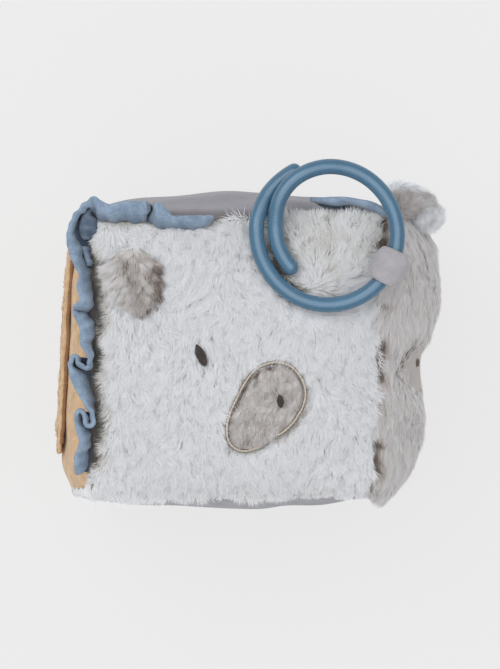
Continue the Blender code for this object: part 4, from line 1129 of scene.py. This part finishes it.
def makeTuft(spec):
    rows, columns = spec["cells"]
    polar, around = np.meshgrid(np.linspace(0.02, math.pi - 0.02, rows),
                                np.linspace(0, 2 * math.pi, columns, endpoint=False), indexing="ij")
    ball = np.stack([np.cos(polar), np.sin(polar) * np.cos(around), np.sin(polar) * np.sin(around)], -1)
    for number, (middle, half, angle, pale, dark, finish) in enumerate(spec["lobes"]):
        draw = np.random.default_rng(90 + number)
        half, lean = np.array(half) / 10000, math.radians(angle)
        axes = np.array([[math.cos(lean), math.sin(lean), 0], [-math.sin(lean), math.cos(lean), 0], [0, 0, 1]])

        def place(spots):
            # a ball's points on the lobe, which is lumpy
            lump = np.sin(3 * spots[..., 0] + 4 * spots[..., 2] + 2 * number) * np.cos(5 * spots[..., 1] + number)
            return np.array(middle) / 10000 + (spots * half * (1 + 0.24 * lump[..., None])) @ axes

        grid = place(ball)
        points = np.concatenate([grid.reshape(-1, 3), [grid[0].mean(0), grid[-1].mean(0)]])
        addPiece(f"tuft_lobe_{number + 1}", meshFrom(points, cappedFaces(rows, columns)), "plushBacking",
                 replaces=() if number else ["corner_tuft"])
        spots = unit(draw.normal(0, 1, (spec["strands"], 3)))
        spots = spots[spots[:, 0] > -0.75]
        normal = unit((spots / half) @ axes)
        along = unit(axes[0] - normal * (normal @ axes[0])[:, None] + 1e-4)
        p, q = np.arctan2(spots[:, 2], spots[:, 1]) * 0.006, spots[:, 0] * 0.008
        # painted shade: the upper lobes are brownish underneath
        tone = pale + 0.10 * spots[:, 0] + 0.06 * ripple(p, q, 0.006, 91)
        tone -= dark * easeIn(-spots[:, 1] - 0.5 * spots[:, 0], 0.0, 0.9)
        makePile(f"tuft_pile_{number + 1}", (place(spots), normal, along, np.cross(normal, along), pair(p, q)),
                 0.7 * ripple(p, q, 0.009, 94 + number), spec["pile"], spec["rise"], tone, spec, finish,
                 92 + number)


makeTuft(tuft)
print("tuft made")


# The link ring and its velour tab

def makeRing():
    rod = ring["rod"] / 2
    step = runOf(ringLine)
    tips = np.array([0.0002, 0.0006, 0.0012, 0.0018, 0.0024])
    steps = np.unique(np.concatenate([step, tips, step[-1] - tips]))
    line = np.stack([np.interp(steps, step, ringLine[:, k]) for k in range(3)], -1)
    step = runOf(line)
    near = np.minimum(step, step[-1] - step) + 0.0001
    radii = rod * np.sqrt(1 - np.clip(1 - near / rod, 0, 1) ** 2)
    addPiece("link_ring_plastic", meshFrom(*tube(line, radii, 28)), "plastic",
             body="ring", replaces=["link_ring"])


makeRing()

tab = {"width": 0.0148, "length": 0.046, "reach": 0.0076, "rise": 0.0063, "wall": 0.0019, "neck": 0.0036,
       "opening": 50}


def makeTab(spec):
    angle = math.radians(ring["tab"])
    radial, up = np.array([math.cos(angle), math.sin(angle), 0]), np.array([0, 0, 1.0])
    rodWay = np.cross(radial, up)
    held = np.array(ring["centre"]) + ring["radius"] * radial
    seamX = halfWidth + block["seamLean"] * held[1] / halfHeight
    foot = np.array([(seamX - held[0]) / radial[0], middleZ + halfDepth + 0.0006 - held[2]])
    opening = math.radians(spec["opening"])
    turn = math.atan2(foot[1], foot[0]) + opening + (2 * math.pi - 2 * opening) * np.linspace(0, 1, 56)

    def loop(reach, rise, spread):
        oval = wayOf(turn) * [reach, rise]
        down = np.linspace(0, 1, 10)[1:, None]
        start, end = ((foot + [way * spread, -0.0006] - oval[k]) * down for way, k in ((-1, 0), (1, -1)))
        return np.concatenate([oval[0] + start[::-1], oval, oval[-1] + end])

    inside = loop(spec["reach"] - spec["wall"], spec["rise"] - spec["wall"], 0.0002)
    faces = [], []
    for w in np.linspace(-1, 1, 29):
        puff = 1 - 0.18 * abs(w) ** 5  # the cloth draws in towards its cut sides
        edge = 0.35 + 0.65 * math.sqrt(max(0.0, 1 - abs(w) ** 10))
        outside = loop(spec["reach"] * puff, spec["rise"] * puff, spec["neck"] / 2)
        for rows, face in zip(faces, (outside, inside)):
            across, rise = ((outside + inside) / 2 * (1 - edge) + face * edge).T[..., None]
            wobble = 0.00018 * ripple(across + w * 0.004, rise, 0.006, 95)
            narrow = 1 - 0.15 * np.minimum(1, np.abs(across) / spec["reach"]) ** 2.5
            rows.append(held + radial * across + up * (rise + wobble) + rodWay * w * spec["width"] / 2 * narrow)
    mesh = shellMesh(*(np.array(rows)[::-1] for rows in faces))
    piece = addPiece("ring_tab_velour", mesh, "velour", body=None, replaces=["ring_tab"])
    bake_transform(piece)


makeTab(tab)
print("ring and tab made")


# The floor, the light and the camera

stage = {"floor": 0.845, "shadowShare": 0.14, "half": 4, "drop": 0.0001, "world": 0.86, "horizon": 0.18,
         "room": 0.06, "ceiling": 3.4, "key": 8.5, "keyPlace": (-0.9, 0.7, 1.7), "keySize": 1.3}


def addItem(name, data):
    item = bpy.data.objects.new(name, data)
    bpy.context.scene.collection.objects.link(item)
    return item


def makeStage(spec):
    corners = [(x * spec["half"], y * spec["half"], -spec["drop"]) for x, y in ((-1, -1), (1, -1), (1, 1), (-1, 1))]
    mesh = meshFrom(np.array(corners), [np.array([[0, 1, 2, 3]])])
    floor = addItem("floor", mesh)
    material, tree, shader = newMaterial("paleFloor", (spec["floor"],) * 3, 0.9)
    glow = addNode(tree, "Emission", {"Color": (spec["floor"],) * 3 + (1,), "Strength": 1.0})
    path = addNode(tree, "LightPath", {})
    seen = mathOf(tree, "MULTIPLY", path.outputs["Is Camera Ray"], 1 - spec["shadowShare"])
    mixer = addNode(tree, "MixShader", {0: seen, 1: shader.outputs[0], 2: glow.outputs[0]})
    tree.links.new(mixer.outputs[0], tree.nodes["Material Output"].inputs["Surface"])
    mesh.materials.append(material)

    world = bpy.data.worlds.new("studio")
    bpy.context.scene.world = world
    world.use_nodes = True
    tree = world.node_tree
    path = addNode(tree, "LightPath", {})
    back = tree.nodes["Background"]
    back.inputs["Color"].default_value = (1, 1, 1, 1)
    seen = mathOf(tree, "ADD", path.outputs["Is Camera Ray"], path.outputs["Is Transmission Ray"])
    # the light comes mostly from above, and glossy surfaces see a bright ceiling over a darker room
    generated = addNode(tree, "TexCoord", {}).outputs["Generated"]
    upward = addNode(tree, "SeparateXYZ", {0: generated}).outputs["Z"]

    def rising(low, high, least, most):
        values = {"Value": upward, "From Min": low, "From Max": high, "To Min": least, "To Max": most}
        return addNode(tree, "MapRange", values).outputs[0]

    soft = rising(0.0, 1.0, spec["world"] * spec["horizon"], spec["world"] * (3 - spec["horizon"]) / 2)
    shown = mathOf(tree, "SUBTRACT", spec["floor"], soft)
    strength = mathOf(tree, "ADD", soft, mathOf(tree, "MULTIPLY", seen, shown))
    ceiling = mathOf(tree, "SUBTRACT", rising(0.66, 0.98, spec["room"], spec["ceiling"]), strength)
    mirrored = mathOf(tree, "MULTIPLY", path.outputs["Is Glossy Ray"], ceiling)
    tree.links.new(mathOf(tree, "ADD", strength, mirrored), back.inputs["Strength"])

    light = bpy.data.lights.new("softbox", "AREA")
    light.shape, light.size, light.energy = "DISK", spec["keySize"], spec["key"]
    lamp = addItem("softbox", light)
    lamp.location = spec["keyPlace"]
    lamp.rotation_mode = "QUATERNION"
    lamp.rotation_quaternion = (Vector((0, 0, 0.06)) - lamp.location).to_track_quat("-Z", "Y")


makeStage(stage)

photo = {"pixelsPerMetre": 2400, "height": 669, "middle": (0.00604, 0.00917), "distance": 5.0, "plane": 0.118,
         "sensor": 36}


def makeCamera(spec):
    camera = bpy.data.cameras.new("camera")
    camera.sensor_width = spec["sensor"]
    camera.lens = spec["sensor"] * spec["distance"] / (spec["height"] / spec["pixelsPerMetre"])
    camera.clip_start, camera.clip_end = 0.1, 20
    item = addItem("camera", camera)
    item.location = (*spec["middle"], spec["plane"] + spec["distance"])
    bpy.context.scene.camera = item


makeCamera(photo)
bpy.context.scene.view_settings.view_transform = "Standard"
print("stage made")
